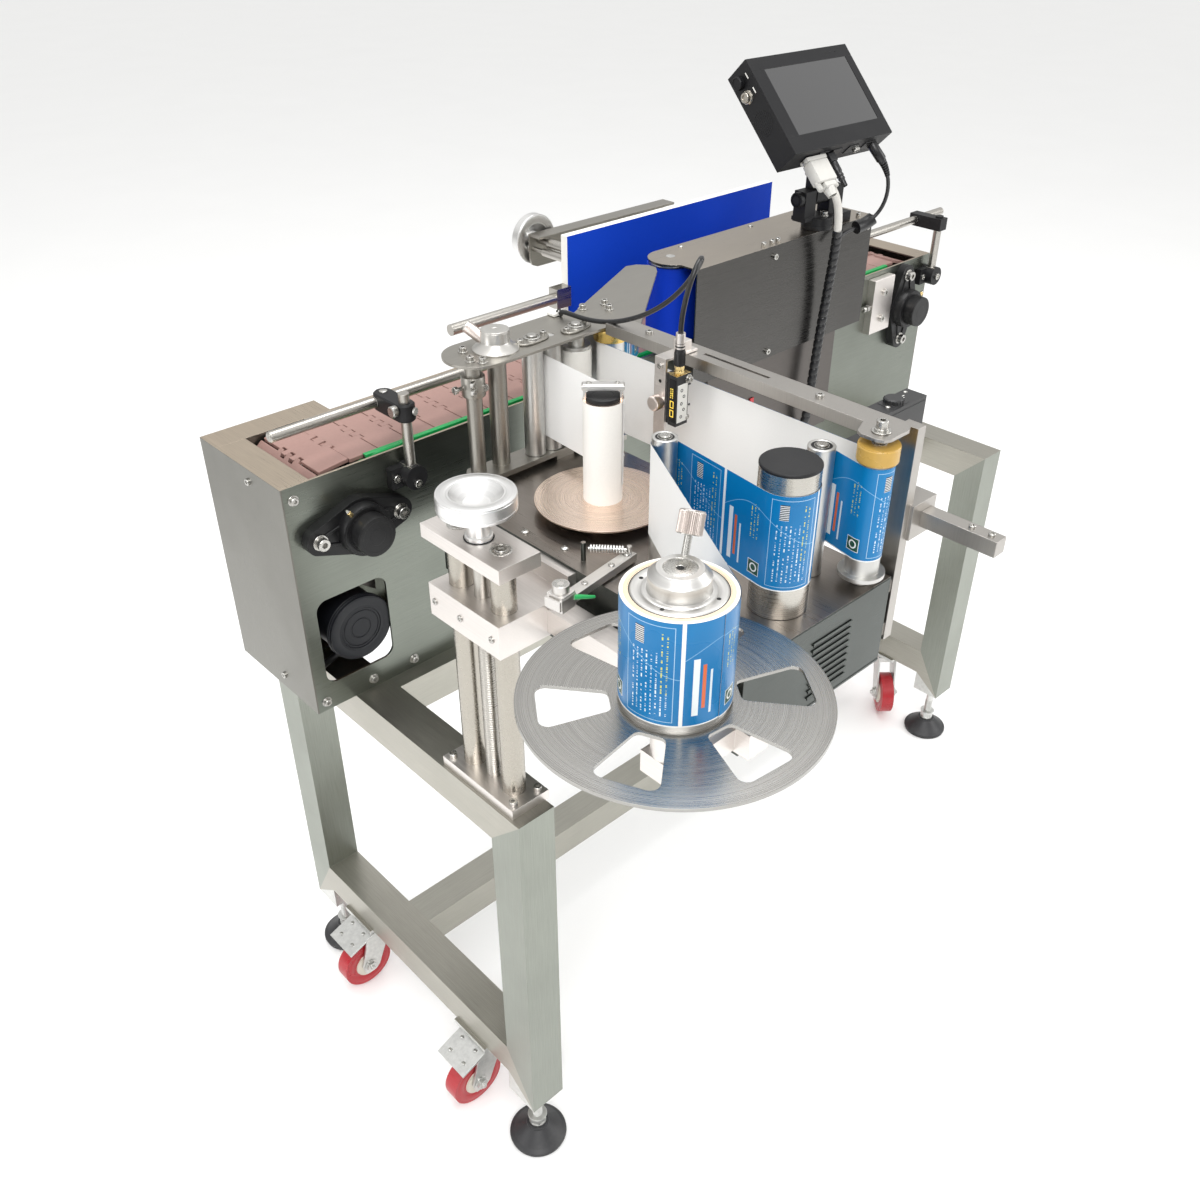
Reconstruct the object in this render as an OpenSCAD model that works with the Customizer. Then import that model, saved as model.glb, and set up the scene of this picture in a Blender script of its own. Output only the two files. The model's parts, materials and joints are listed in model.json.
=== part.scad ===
// Wrap-around labelling machine: conveyor, labelling head on a lift, wrap station.
// Millimetres. Z up, X along the conveyor, Y away from the operator side.
// The origin is the centre of the front left foot, on the floor.

/* [Frame] */
// Side of the square frame tube
tube = 48; // [44:1:50]
// Distance between the two end frames
span = 1084; // [1070:1:1100]
// Distance from front leg to back leg on the left
leg_depth = 456; // [450:1:464]
// Height of the frame's top face
frame_top = 591; // [575:1:605]
// Height of the legs' lower ends above the floor
foot_h = 96; // [92:1:100]
// Radius of a levelling foot's pad
pad_r = 36; // [30:1:40]
// Caster wheel radius
wheel_r = 38; // [35:0.5:38]

/* [Conveyor] */
// Height of the conveyor's side plates
plate_h = 291; // [285:1:300]
// Width of the flat-top chain
chain_w = 114; // [108:1:114]
// Distance between the two chain shafts
shaft_span = 1005; // [1000:1:1008]
// Radius of the conveyor shafts
shaft_r = 12.5; // [11:0.5:13]

/* [Labelling head] */
// Radius of the guide columns
column_r = 12.5; // [10:0.5:13]
// Lift of the labelling head
lift = 45; // [35:1:46]
// Height of the label web
web_h = 94; // [85:1:94]
// Radius of the supply reel's disc
reel_r = 125; // [115:1:125]
// Outer radius of the label roll
roll_r = 44.5; // [42:0.5:45]
// Radius of the tension cylinder
cylinder_r = 27; // [25:0.5:28]

/* [Wrap station] */
// Radius of the wrap belt rollers
wrap_r = 26; // [24:0.5:26]
// Thickness of the wrap belt
belt_t = 3; // [2:0.5:3]

/* [Controller] */
// Width of the controller case
screen_w = 188; // [180:1:196]
// Height of the controller case
screen_h = 132; // [124:1:136]
// Depth of the controller case
screen_d = 37; // [32:1:40]

/* [Hidden] */
$fn = 48;
run = 0.05;        // running fit, radial
air = 0.3;         // gap between moving pieces
t2 = tube / 2;
wall = 2.5;        // frame tube wall
ti = t2 - wall;
ry = 124;          // front leg of the right end frame
by = 277;          // centre of the two long beams
st = 132;          // underside of the lower stretchers
ft = frame_top;
zc = ft + plate_h; // top of the conveyor side plates
zl = zc - 30;      // top of the labelling head's case
xl = -73; xr = span - 2;
ny = 274.5;        // outer face of the near plate
pt = 3;            // plate thickness
cyc = 348;         // centre line of the chain
lane = cyc - ny;   // from the centre line to either side plate
fy = cyc + lane - 13;  // inner face of the far plate
rear_y = fy + 37.5;    // back of the transmission cover
box_r = 69.5;      // right end of the transmission cover
lip = 33;          // width of the top lips
sx = 5; sz = zc - 67;             // left chain shaft
ex = sx + shaft_span;             // right chain shaft
link_t = 4.8; link_r = 62.6; link_l = 36.4;
links = 63;
loop = 2 * shaft_span + 2 * PI * link_r;
pitch = loop / links;
kp_r = 6; axle_r = 5; trail = 28; axle_z = 46;
casters = [[0, 100, 0], [0, 362, 0], [span, 232, 47], [span, 396, 47]];
win = [-57, 34, sz - 191, sz - 80];
mc = [-3, sz - 138]; motor_r = 40;
// lift
cox = 4; scy = 48.5; coy = [scy - 32.5, scy + 32.5]; screw_r = 8;
plate_x = [-20.5, 28.5]; plate_y = [scy - 59, scy + 59]; knob_r = 37.5;
base_t = 12; top_t = 15; top_z = zl + 27;
car_z = [zl - 59, zl - 22];
// labelling head
case_x = [75.5, 285]; case_y = [-217.5, 212]; case_b = zl - 98;
reel = [-18.5, -224.5]; disc_z = zl + 23; disc_t = 3; hub_r = 37;
web_z = zl + 31;
web_t = 0.4;
roller_a = [146.6, -48.7]; ra_r = 12;
cyl_c = [170.4, -173.1];
roller_b = [235.8, -156.4]; rb_r = 12.8;
print_c = [256.5, -201.5]; pr_r = 16;
nip_c = [288.1, 171]; nip_r = 15;
tip_c = [446, 288]; tip_r = 1.8; blade_a = 28;
liner_c = [251, 186.5]; ln_r = 16.8;
bar_c = [152, 200]; bar_r = 10;
drive_c = [194, 192]; dr_r = 11.5;
pinch_r = 12; pinch_c = [drive_c[0] + dr_r + pinch_r + 2 * air + web_t, 192];
spool_c = [176, 64]; core_r = 20.2; spool_r = 71;
plate_z = zl + 139;               // underside of the top plates of the head
// wrap station
wl = [503, 289]; wr = [806, 289];   // belt roller axes; the belt stands proud of the plates
wz0 = zc + 4; wz1 = zc + 114;
board_x = [431, 834]; board_y = 402;
rod_z = zc + 92.5; rod_r = 3; rod_x = [443, 652];
tube_r = 5; tube_y = 462; brk_y = 482;
bs = [453, zc + 102]; bs_r = 4;   // board screw
// controller
pk = [736, 242.6]; tilt = 44.3; yaw = -2.3;
sc = [719, 243, zc + 278];        // centre of the controller's front face
hg = [247, zc + 155];             // tilt hinge, y and z

module bx(x0, x1, y0, y1, z0, z1) { translate([x0, y0, z0]) cube([x1 - x0, y1 - y0, z1 - z0]); }
module cz(c, z0, z1, r) { translate([c[0], c[1], z0]) cylinder(h = z1 - z0, r = r); }
module cy(x, z, y0, y1, r) { translate([x, y1, z]) rotate([90, 0, 0]) cylinder(h = y1 - y0, r = r); }
module cx(y, z, x0, x1, r) { translate([x0, y, z]) rotate([0, 90, 0]) cylinder(h = x1 - x0, r = r); }
module cone(c, z0, z1, r0, r1) { translate([c[0], c[1], z0]) cylinder(h = z1 - z0, r1 = r0, r2 = r1); }
module hexz(c, z0, z1, r) { translate([c[0], c[1], z0]) cylinder(h = z1 - z0, r = r, $fn = 6); }
module hexy(x, z, y0, y1, r) { translate([x, y1, z]) rotate([90, 0, 0]) cylinder(h = y1 - y0, r = r, $fn = 6); }
// a plate in the XZ plane, from y0 to y1
module xz(pts, y0, y1) { translate([0, y1, 0]) rotate([90, 0, 0]) linear_extrude(y1 - y0) polygon(pts); }

// ---------- base ----------
module end_frame(x, y0) {
  bx(x - t2, x + t2, y0 - t2, y0 + t2, foot_h, ft);
  bx(x - t2, x + t2, leg_depth - t2, leg_depth + t2, foot_h, ft);
  bx(x - t2, x + t2, y0 - t2, leg_depth + t2, ft - tube, ft);
  bx(x - t2, x + t2, y0, leg_depth, st, st + tube);
}
module end_void(x, y0) {
  for (y = [y0, leg_depth]) bx(x - ti, x + ti, y - ti, y + ti, foot_h + 14, ft - wall);
  bx(x - ti, x + ti, y0, leg_depth, ft - tube + wall, ft - wall);
  bx(x - ti, x + ti, y0, leg_depth, st + wall, st + tube - wall);
}
module frame() color("silver") difference() {
  union() {
    end_frame(0, 0);
    end_frame(span, ry);
    bx(0, span, by - t2, by + t2, ft - tube, ft);
    bx(0, span, by - t2, by + t2, st, st + tube);
    for (c = casters) {
      bx(c[0] - 28, c[0] + 28, c[1] - 32, c[1] + 32, st - 6, st);
      cz(c, st - 10, st - 6, 17);
      cz(c, st - 21, st - 10, kp_r);
    }
  }
  end_void(0, 0);
  end_void(span, ry);
  for (z = [ft - tube, st]) bx(0, span, by - ti, by + ti, z + wall, z + tube - wall);
  for (c = [[0, 0], [0, leg_depth], [span, ry], [span, leg_depth]]) cz(c, foot_h - 1, foot_h + 10, 6 + run);
}
module levelling_feet() color("dimgray")
  for (c = [[0, 0], [0, leg_depth], [span, ry], [span, leg_depth]]) {
    cz(c, 0, 7, pad_r);
    cone(c, 7, 26, pad_r, 13);
    cz(c, 26, 30, 11);
    hexz(c, 30, 42, 11);
    cz(c, 42, foot_h + 9, 6);
  }
module at(c) { translate([c[0], c[1], 0]) rotate([0, 0, c[2]]) children(); }
module fork(c, brake) color("gainsboro") at(c) {
  difference() {
    bx(-19, 17, -17, 17, st - 21, st - 11);
    cz([0, 0], st - 22, st - 10, kp_r + run);
  }
  for (s = [-17, 14]) xz([[-19, st - 11], [17, st - 11], [17, st - 24], [-13, 38], [-20, 32], [-36, 32],
    [-41, 50], [-31, 84]], s, s + 3);
  cy(-trail, axle_z, -17, 17, axle_r);
  hexy(-trail, axle_z, -22, -17, 8);
  hexy(-trail, axle_z, 17, 22, 8);
  if (brake) {
    xz([[-18, st - 14], [-62, st - 30], [-61, st - 33], [-17, st - 17]], -27, 27);
    xz([[-18, st - 14], [-19, st - 17], [-10, st - 17], [-10, st - 14]], -17, 17);
  }
}
module wheel(c) color("firebrick") at(c) difference() {
  union() {
    cy(-trail, axle_z, -11, 11, wheel_r);
    cy(-trail, axle_z, -13, 13, 20);
  }
  cy(-trail, axle_z, -14, 14, axle_r + run);
}
module fork_fl() fork(casters[0], true);
module fork_bl() fork(casters[1], true);
module fork_fr() fork(casters[2], false);
module fork_br() fork(casters[3], false);
module wheel_fl() wheel(casters[0]);
module wheel_bl() wheel(casters[1]);
module wheel_fr() wheel(casters[2]);
module wheel_br() wheel(casters[3]);

// ---------- conveyor ----------
module near_plate() color("lightgray") difference() {
  union() {
    bx(xl, xr, ny, ny + pt, ft, zc);
    bx(xl, xr, ny, ny + 30, ft, ft + pt);
  }
  bx(win[0] + 14, win[1] - 14, ny - 1, ny + pt + 1, win[2], win[3]);
  bx(win[0], win[1], ny - 1, ny + pt + 1, win[2] + 14, win[3] - 14);
  for (x = [win[0] + 14, win[1] - 14], z = [win[2] + 14, win[3] - 14]) cy(x, z, ny - 1, ny + pt + 1, 14);
  for (x = [sx, ex]) cy(x, sz, ny - 1, ny + pt + 1, shaft_r + 3);
}
module rear_housing() color("lightgray") difference() {
  union() {
    bx(xl, xr, fy, fy + pt, ft, zc);
    bx(xl, box_r, fy, rear_y, ft, zc);
    bx(xl, xr, fy - 28, fy, ft, ft + pt);
  }
  bx(xl + 2, box_r - 2, fy + pt, rear_y - 2, ft + 2, zc - 2);
  for (x = [sx, ex]) cy(x, sz, fy - 1, fy + pt + 1, shaft_r + 3);
}
module end_covers() color("lightgray") {
  bx(xl - 2, xl, ny, rear_y, ft, zc);
  bx(xl, xl + lip, ny + pt, fy, zc - 2, zc);
  bx(xr, xr + 2, ny, fy + pt, ft, zc);
  bx(xr - lip, xr, ny + pt, fy, zc - 2, zc);
}
// centre and angle of a link at path length s
function wrap_s(s) = s % loop;
function link_pos(s) =
  s < shaft_span ? [sx + s, sz + link_r, 0] :
  s < shaft_span + PI * link_r ? let (a = (s - shaft_span) / link_r * 180 / PI)
    [ex + link_r * sin(a), sz + link_r * cos(a), a] :
  s < 2 * shaft_span + PI * link_r ? [ex - (s - shaft_span - PI * link_r), sz - link_r, 180] :
  let (a = 180 + (s - 2 * shaft_span - PI * link_r) / link_r * 180 / PI)
    [sx + link_r * sin(a), sz + link_r * cos(a), a];
module stadium(r, w) {
  bx(sx, ex, cyc - w, cyc + w, sz - r, sz + r);
  for (x = [sx, ex]) cy(x, sz, cyc - w, cyc + w, r);
}
module chain() color("rosybrown") {
  for (i = [0 : links - 1]) {
    p = link_pos(wrap_s((i + 0.825) * pitch));
    translate([p[0], cyc, p[1]]) rotate([0, p[2], 0])
      bx(-link_l / 2, link_l / 2, -chain_w / 2, chain_w / 2, -link_t / 2, link_t / 2);
  }
  difference() { stadium(link_r - link_t / 2 + 0.8, 20); stadium(link_r - link_t / 2 - 8, 21); }
}
module chain_guides() color("seagreen") {
  for (k = [0.11, 0.39, 0.67, 0.91]) bx(sx + k * shaft_span - 15, sx + k * shaft_span + 15, ny + pt, fy, sz + 30, sz + 51);
  for (y = [cyc - 42, cyc + 30]) bx(40, ex - 35, y, y + 12, sz + 50, sz + 60);
  bx(34, ex - 28, ny + pt, cyc - chain_w / 2 - 1.5, sz + 50, zc - 4);
  bx(34, ex - 28, cyc - chain_w / 2 - 8, cyc - chain_w / 2 - 1.5, zc - 4, zc);
  bx(34, ex - 28, cyc + chain_w / 2 + 1, fy, sz + 50, zc);
}
module shaft(x, y1) {
  cy(x, sz, ny - 28, y1, shaft_r);
  cy(x, sz, cyc - 36, cyc + 36, 24);
  for (y = [cyc - 30, cyc + 22]) cy(x, sz, y, y + 8, 50);
}
module drive_shaft() color("darkgray") { shaft(sx, rear_y - 6); cy(sx, sz, rear_y - 17, rear_y - 7, 38); }
module idler_shaft() color("darkgray") shaft(ex, fy + 13);
module drive_motor() color("dimgray") {
  difference() {
    cy(mc[0], mc[1], ny + 3, ny + 12, motor_r);
    cy(mc[0], mc[1], ny + 2, ny + 5, motor_r - 14);
  }
  cy(mc[0], mc[1], ny + 12, fy - 30, motor_r - 3);
  bx(mc[0] - 45, mc[0] + 45, fy - 30, fy, mc[1] - 45, mc[1] + 45);
}
module flange(x, vert) difference() {
  translate([x, 0, sz]) rotate([0, vert ? 90 : 0, 0]) {
    cy(0, 0, ny - 13, ny, 33);
    for (s = [-50.6, 50.6]) cy(s, 0, ny - 13, ny, 15.5);
    xz([[-55, 14.8], [-10, 31], [10, 31], [55, 14.8], [55, -14.8], [10, -31], [-10, -31], [-55, -14.8]],
      ny - 13, ny);
    cy(0, 0, ny - 27, ny - 13, 29);
    cy(0, 0, ny - 44.5, ny - 27, 22.6);
  }
  cy(x, sz, ny - 33, ny + 1, shaft_r + run);
}
module flange_bearings() color("black") {
  flange(sx, false);
  flange(ex, true);
  for (x = [sx, ex]) difference() {
    cy(x, sz, fy + pt, fy + pt + 6, 26);
    cy(x, sz, fy, fy + pt + 7, shaft_r + run);
  }
}
post_y = ny - 12.5; lp = 75; rp = ex + 65; rail_z = zc + 45.5; exit_z = zc + 50;
module rail_supports() color("black") {
  for (p = [[lp, rail_z + 20.5], [rp, exit_z + 12]]) {
    cy(p[0], zc - 30, ny - 23, ny, 14);
    bx(p[0] - 24, p[0] + 7, ny - 10, ny, zc - 42, zc - 18);
    cz([p[0], post_y], zc - 30, p[1], 6);
  }
  bx(rp - 9, rp + 9, post_y - 9, 309, exit_z - 9, exit_z + 9);
  cx(300, exit_z, 880, 1138, 6);
}
module near_rail() color("lightgray") {
  difference() {
    bx(lp - 11, lp + 11, post_y - 11, 312, rail_z - 10, rail_z + 10);
    cz([lp, post_y], rail_z - 11, rail_z + 11, 6 + run);
  }
  cx(303, rail_z, -63.5, 400, 6);
}

// ---------- wrap station ----------
module wrap_housing() color("lightgray") difference() {
  union() {
    bx(520, 790, 231, ny, zc - 182, wz0);
    bx(486, 842, 227, 229, zc - 38, wz1);
    bx(840, 842, 229, 316, wz0, wz1);
    for (z = [wz0, wz1 - 2]) { bx(503, 840, 229, 316, z, z + 2); bx(486, 503, 229, 283, z, z + 2); cz([503, 283], z, z + 2, 33); }
    bx(540, 768, 300, 311, wz0, wz1);
  }
  bx(522, 788, 233, ny - 2, zc - 180, wz0 - 2);
  for (c = [wl, wr]) cz(c, wz0 - 1, wz1 + 1, 6 + run);
  cz(pk, wz1 - 3, wz1 + 1, 8 + run);
}
module belt_form(r, z0, z1) { bx(wl[0], wr[0], wl[1] - r, wl[1] + r, z0, z1); cz(wl, z0, z1, r); cz(wr, z0, z1, r); }
module wrap_belt() color("royalblue") difference() {
  belt_form(wrap_r + air + belt_t, wz0 + 6, wz1 - 8);
  belt_form(wrap_r + air, wz0 + 5, wz1 - 7);
}
module wrap_roller(c) color("lightgray") {
  cz(c, wz0 + 4, wz1 - 6, wrap_r);
  cz(c, wz0 - 1, wz1, 6);
}
module wrap_roller_l() wrap_roller(wl);
module wrap_roller_r() wrap_roller(wr);
module board() color("blue") {
  bx(board_x[0], board_x[1], board_y, board_y + 12, zc + 4, zc + 128);
  difference() {
    union() {
      for (x = rod_x) cy(x, rod_z, board_y + 11, tube_y, tube_r);
      cy(bs[0], bs[1], board_y + 11, tube_y, bs_r + 2.5);
    }
    for (x = rod_x) cy(x, rod_z, board_y + 14, tube_y + 1, rod_r + run);
    cy(bs[0], bs[1], board_y + 14, tube_y + 1, bs_r + run);
  }
  bx(board_x[0] - 24, board_x[0], board_y - 6, board_y + 10, zc + 40, zc + 66);
  cx(board_y + 1, zc + 53, 241, board_x[0] - 24, 7);
}
module board_bracket() color("lightgray") difference() {
  union() {
    xz([[448, zc + 68], [690, zc + 68], [690, zc + 113], [436, zc + 113], [436, zc + 80], [439.5, zc + 71.5]],
      brk_y, brk_y + pt);
    bx(436, 690, brk_y - 20, brk_y, zc + 110, zc + 113);
    for (x = [505, 645]) {
      bx(x, x + 30, brk_y, brk_y + pt, zc - 90, zc + 69);
      bx(x, x + 30, fy + pt, brk_y + pt, zc - 93, zc - 90);
      bx(x, x + 30, fy + pt, fy + 2 * pt, zc - 120, zc - 92);
    }
    for (x = rod_x) cy(x, rod_z, tube_y - 31, brk_y, rod_r);
  }
  cy(bs[0], bs[1], brk_y - 1, brk_y + pt + 1, bs_r + run);
}
module board_screw() color("silver") {
  cy(bs[0], bs[1], tube_y - 30, brk_y + 20, bs_r);
  cy(bs[0], bs[1], brk_y + pt + air, brk_y + 19, 9);
  difference() {
    cy(bs[0], bs[1], brk_y + 7, brk_y + 19, 32);
    translate([bs[0], brk_y + 6, bs[1]]) rotate([-90, 0, 0]) cylinder(h = 7, r1 = 22, r2 = 12);
  }
}

// ---------- lift ----------
module column_plates() color("gainsboro") difference() {
  union() {
    bx(plate_x[0], plate_x[1], plate_y[0], plate_y[1], ft, ft + base_t);
    bx(plate_x[0], plate_x[1], plate_y[0], plate_y[1], top_z, top_z + top_t);
  }
  cz([cox, scy], top_z - 1, top_z + top_t + 1, screw_r + run);
  cz([cox, scy], ft + base_t - 6, ft + base_t + 1, screw_r + run);
}
module guide_columns() color("silver") for (y = coy) cz([cox, y], ft + base_t, top_z, column_r);
module height_screw() color("silver") {
  cz([cox, scy], ft + base_t - 5, top_z + top_t + 33, screw_r);
  cz([cox, scy], top_z + top_t + air, top_z + top_t + 32, 11);
  difference() {
    cz([cox, scy], top_z + top_t + 31, top_z + top_t + 47, knob_r);
    cone([cox, scy], top_z + top_t + 37, top_z + top_t + 48, 13, 26.5);
  }
}
module carriage() color("gainsboro") difference() {
  union() {
    bx(plate_x[0], 65, plate_y[0] + 5, plate_y[1] - 5, car_z[0], car_z[1]);
    bx(65, case_x[0], plate_y[0] + 5, plate_y[1] + 20, car_z[0], zl - 3);
  }
  for (y = coy) cz([cox, y], car_z[0] - 1, car_z[1] + 1, column_r + run);
  cz([cox, scy], car_z[0] - 1, car_z[1] + 1, screw_r + run);
}

// ---------- labelling head ----------
module labeler_case() color("gray") {
  difference() {
    bx(case_x[0], case_x[1], case_y[0], case_y[1], case_b, zl);
    bx(case_x[0] + 2, case_x[1] - 2, case_y[0] + 2, case_y[1] - 2, case_b + 2, zl - 3);
    for (p = [[cyl_c, 8], [roller_a, 6], [roller_b, 6], [print_c, 6], [spool_c, 8], [[95, -34], 5]])
      cz(p[0], zl - 4, zl + 1, p[1] + run);
  }
  cz([93, 3], zl, zl + 20, 2.5);
}
module reel_arm() color("gainsboro") difference() {
  union() {
    bx(38, 64, -258, plate_y[0] + 5, zl - 54, zl - 28);
    bx(reel[0] - 18, 38, reel[1] - 18, reel[1] + 18, zl - 52, zl - 30);
    cz(reel, zl - 52, disc_z - 5, 18);
  }
  cz(reel, zl - 53, disc_z, 10 + run);
}
module supply_reel() color("silver") {
  difference() {
    cz(reel, disc_z, disc_z + disc_t, reel_r);
    for (i = [0 : 5]) translate([reel[0], reel[1], disc_z - 1]) rotate([0, 0, i * 60 + 24]) hull() {
      for (s = [-1, 1]) {
        translate([57, s * 7.5, 0]) cylinder(h = disc_t + 2, r = 6, $fn = 16);
        translate([100, s * 17.5, 0]) cylinder(h = disc_t + 2, r = 8, $fn = 16);
      }
    }
  }
  cz(reel, zl - 51, disc_z + 1, 10);
  cz(reel, disc_z + disc_t, web_z, roll_r - 1.5);
  difference() {
    union() {
      cz(reel, web_z, web_z + web_h, hub_r);
      cz(reel, web_z + web_h, web_z + web_h + 13, 24);
      cone(reel, web_z + web_h + 13, web_z + web_h + 19, 24, 18);
    }
    cz(reel, web_z + web_h + 18, web_z + web_h + 20, 13);
    for (a = [20, 110, 200, 290]) cz([reel[0] + 31 * cos(a), reel[1] + 31 * sin(a)], web_z + web_h - 4, web_z + web_h + 1, 1.7);
  }
  translate([reel[0] + 13, reel[1] + 9, web_z + web_h + 12]) rotate([-12, 26, 0]) {
    cylinder(h = 24, r = 3);
    translate([0, 0, 22]) cylinder(h = 18, r = 9.5);
  }
}
module label_roll() color("deepskyblue") difference() {
  cz(reel, web_z, web_z + web_h, roll_r);
  cz(reel, web_z - 1, web_z + web_h + 1, hub_r + run);
}
module tension_arm() color("gainsboro") {
  translate([95, -34, 0]) rotate([0, 0, 8.6]) {
    bx(-74, 32, -6, 6, zl + 2, zl + 10);
    bx(-83, -65, -9, 9, zl + 2, zl + 19);
    cz([-74, 0], zl + 19, zl + 27, 8);
    cz([28, 0], zl + 10, zl + 18, 2.5);
  }
  cz([95, -34], zl - 3, zl + 2, 5);
}
module tension_spring() color("silver") {
  a = [95.5, -1]; b = [120.7, -28.2];
  d = norm(b - a); g = atan2(b[1] - a[1], b[0] - a[0]);
  translate([a[0], a[1], zl + 14]) rotate([0, 0, g]) {
    for (i = [0 : 11]) cx(0, 0, 2 + i * (d - 4) / 12, 2 + i * (d - 4) / 12 + 1.6, 4);
    cx(0, 0, 0, d, 1.2);
  }
}
module tension_cylinder() color("silver") {
  cz(cyl_c, zl + 0.5, zl + 144, cylinder_r);
  cz(cyl_c, zl - 14, zl + 1, 8);
}
module guide_roller_a() color("silver") { cz(roller_a, zl + 0.5, zl + 131, ra_r); cz(roller_a, zl - 14, zl + 1, 6); }
module guide_roller_b() color("silver") { cz(roller_b, zl + 0.5, zl + 131, rb_r); cz(roller_b, zl - 14, zl + 1, 6); }
module print_roller() color("silver") {
  cz(print_c, zl - 14, zl + 6, 6);
  cz(print_c, zl + 0.5, zl + 10, 9);
  cz(print_c, zl + 10, zl + 14, 22);
  cz(print_c, zl + 14, zl + 127, pr_r);
  cz(print_c, zl + 127, zl + 143, 18.5);
  cz(print_c, zl + 143, zl + 153.5, 5);
}
module applicator_plates() color("lightgray") {
  difference() {
    union() {
      translate([0, 0, zl + 6]) linear_extrude(6) polygon([[108, 184], [120, 178], [268, 178], [278, 156], [300, 156],
        [304, 162], [304, 196], [292, 206], [114, 212], [108, 206]]);
      bx(112, 130, 186, 205, zl, zl + 6);
      bx(215, 240, 180, 205, zl, zl + 6);
      bx(128.5, 282, 167, 238, plate_z, plate_z + 3);
      cz([128.5, 202.5], plate_z, plate_z + 3, 35.5);
    }
    for (c = [drive_c, liner_c, nip_c, pinch_c]) cz(c, zl + 5, plate_z + 4, 5 + run);
  }
  cz([120.5, 200], zl + 12, plate_z, 8.5);
  cz([120.5, 200], zl + 100, zl + 122, 12);
  cz(bar_c, zl + 12, plate_z, bar_r);
  cone(bar_c, plate_z + 3, plate_z + 11, 23, 15);
  cz(bar_c, plate_z + 11, plate_z + 24, 15);
  translate([bar_c[0] - 4, bar_c[1] + 5, plate_z + 8]) rotate([-52, -36, 0]) cylinder(h = 30, r = 6.3);
}
module drive_roller() color("silver") {
  cz(drive_c, zl + 12.5, plate_z - 0.5, dr_r);
  cz(drive_c, zl + 7, plate_z + 6, 5);
}
module nip_roller() color("gold") {
  cz(nip_c, zl + 12.5, zl + 126, nip_r);
  cz(nip_c, zl + 126, plate_z - 0.5, 19);
  cz(nip_c, zl + 7, plate_z + 2.5, 5);
}
module pinch_roller() color("silver") {
  cz(pinch_c, zl + 12.5, plate_z - 0.5, pinch_r);
  cz(pinch_c, zl + 7, plate_z + 2.5, 5);
}
module liner_roller() color("white") {
  cz(liner_c, zl + 16, zl + 121, ln_r);
  cz(liner_c, zl + 121, zl + 125, ln_r - 1);
  cz(liner_c, zl + 12.5, plate_z - 0.5, 9);
  cz(liner_c, zl + 7, plate_z + 2.5, 5);
}
module peel_arm() color("lightgray") difference() {
  union() {
    translate([0, 0, plate_z]) linear_extrude(3) polygon([[282, 144], [306, 144], [452, 262], [462, 274],
      [462, 286], [452, 298], [438, 302], [282, 224]]);
    translate([tip_c[0], tip_c[1], 0]) rotate([0, 0, blade_a])
      bx(-140, 0, -1.2, 1.2, web_z, plate_z + 1);
  }
  cz(nip_c, plate_z - 1, plate_z + 4, 5 + run);
}
module rewind_spool() color("silver") {
  cz(spool_c, zl - 14, zl + 12, 8);
  cz(spool_c, zl + 0.5, zl + 12, 15);
  cz(spool_c, zl + 12, zl + 14, spool_r);
  cz(spool_c, zl + 14, zl + 123, core_r);
  cz(spool_c, zl + 123, zl + 127, 17);
  translate([spool_c[0], spool_c[1], 0]) rotate([0, 0, -43]) {
    bx(-20, 20, -4.5, 4.5, zl + 133, zl + 139);
    for (s = [-19.5, 16.5]) bx(s, s + 3, -4.5, 4.5, zl + 118, zl + 134);
  }
}
// web path: [x, y, radius, side]; side 1 keeps the roller on the left, -1 on the right
lay = air + web_t / 2;
path = [[reel[0], reel[1], roll_r + lay, 1], [roller_a[0], roller_a[1], ra_r + lay, -1],
  [cyl_c[0], cyl_c[1], cylinder_r + lay, 1], [roller_b[0], roller_b[1], rb_r + lay, -1],
  [print_c[0], print_c[1], pr_r + lay, 1], [nip_c[0], nip_c[1], nip_r + lay, -1],
  [tip_c[0], tip_c[1], tip_r, 1], [pinch_c[0], pinch_c[1], pinch_r + lay, 1],
  [spool_c[0], spool_c[1], core_r + lay, -1]];
// direction of the straight run from roller i to roller i + 1
function dirn(i) = let (p = path[i], q = path[i + 1], d = [q[0] - p[0], q[1] - p[1]])
  atan2(d[1], d[0]) - asin((q[3] * q[2] - p[3] * p[2]) / norm(d));
last = len(path) - 1;
// angle of arrival at and departure from roller i
function a_in(i) = i == 0 ? dirn(0) - 60 : dirn(i - 1);
function a_out(i) = i == last ? dirn(last - 1) - 60 : dirn(i);
function turn(i) = let (d = a_out(i) - a_in(i)) path[i][3] > 0 ? (d % 360 + 360) % 360 : -((-d % 360 + 360) % 360);
function rim(i, k, n, off) = let (a = a_in(i) + turn(i) * k / n, s = path[i][3], r = s * path[i][2] + off)
  [path[i][0] + r * sin(a), path[i][1] - r * cos(a)];
seg = 12;
function side(off) = [for (i = [0 : last]) for (k = [0 : seg]) rim(i, k, seg, off)];
module label_web() color("white") translate([0, 0, web_z]) linear_extrude(web_h)
  polygon(concat(side(-web_t / 2), [for (i = [len(path) * (seg + 1) - 1 : -1 : 0]) side(web_t / 2)[i]]));
bar_end = 152;
module bridge_bar() color("gainsboro") difference() {
  union() {
    bx(262.5, 289, -180, bar_end, plate_z + 12, plate_z + 15);
    bx(262.5, 265, -180, bar_end, plate_z + 3, plate_z + 12);
    bx(286.5, 289, -180, bar_end, plate_z + 3, plate_z + 12);
    translate([0, 0, plate_z + 12]) linear_extrude(3) polygon([[289, -178], [289, -205], [284, -213], [276, -217],
      [250, -217], [243, -214], [240, -207], [240, -192], [243, -186], [262.5, -178]]);
  }
  cz(print_c, plate_z + 11, plate_z + 16, 5 + run);
  bx(274, 278, -60, 24, plate_z + 11, plate_z + 16);
}
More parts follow.
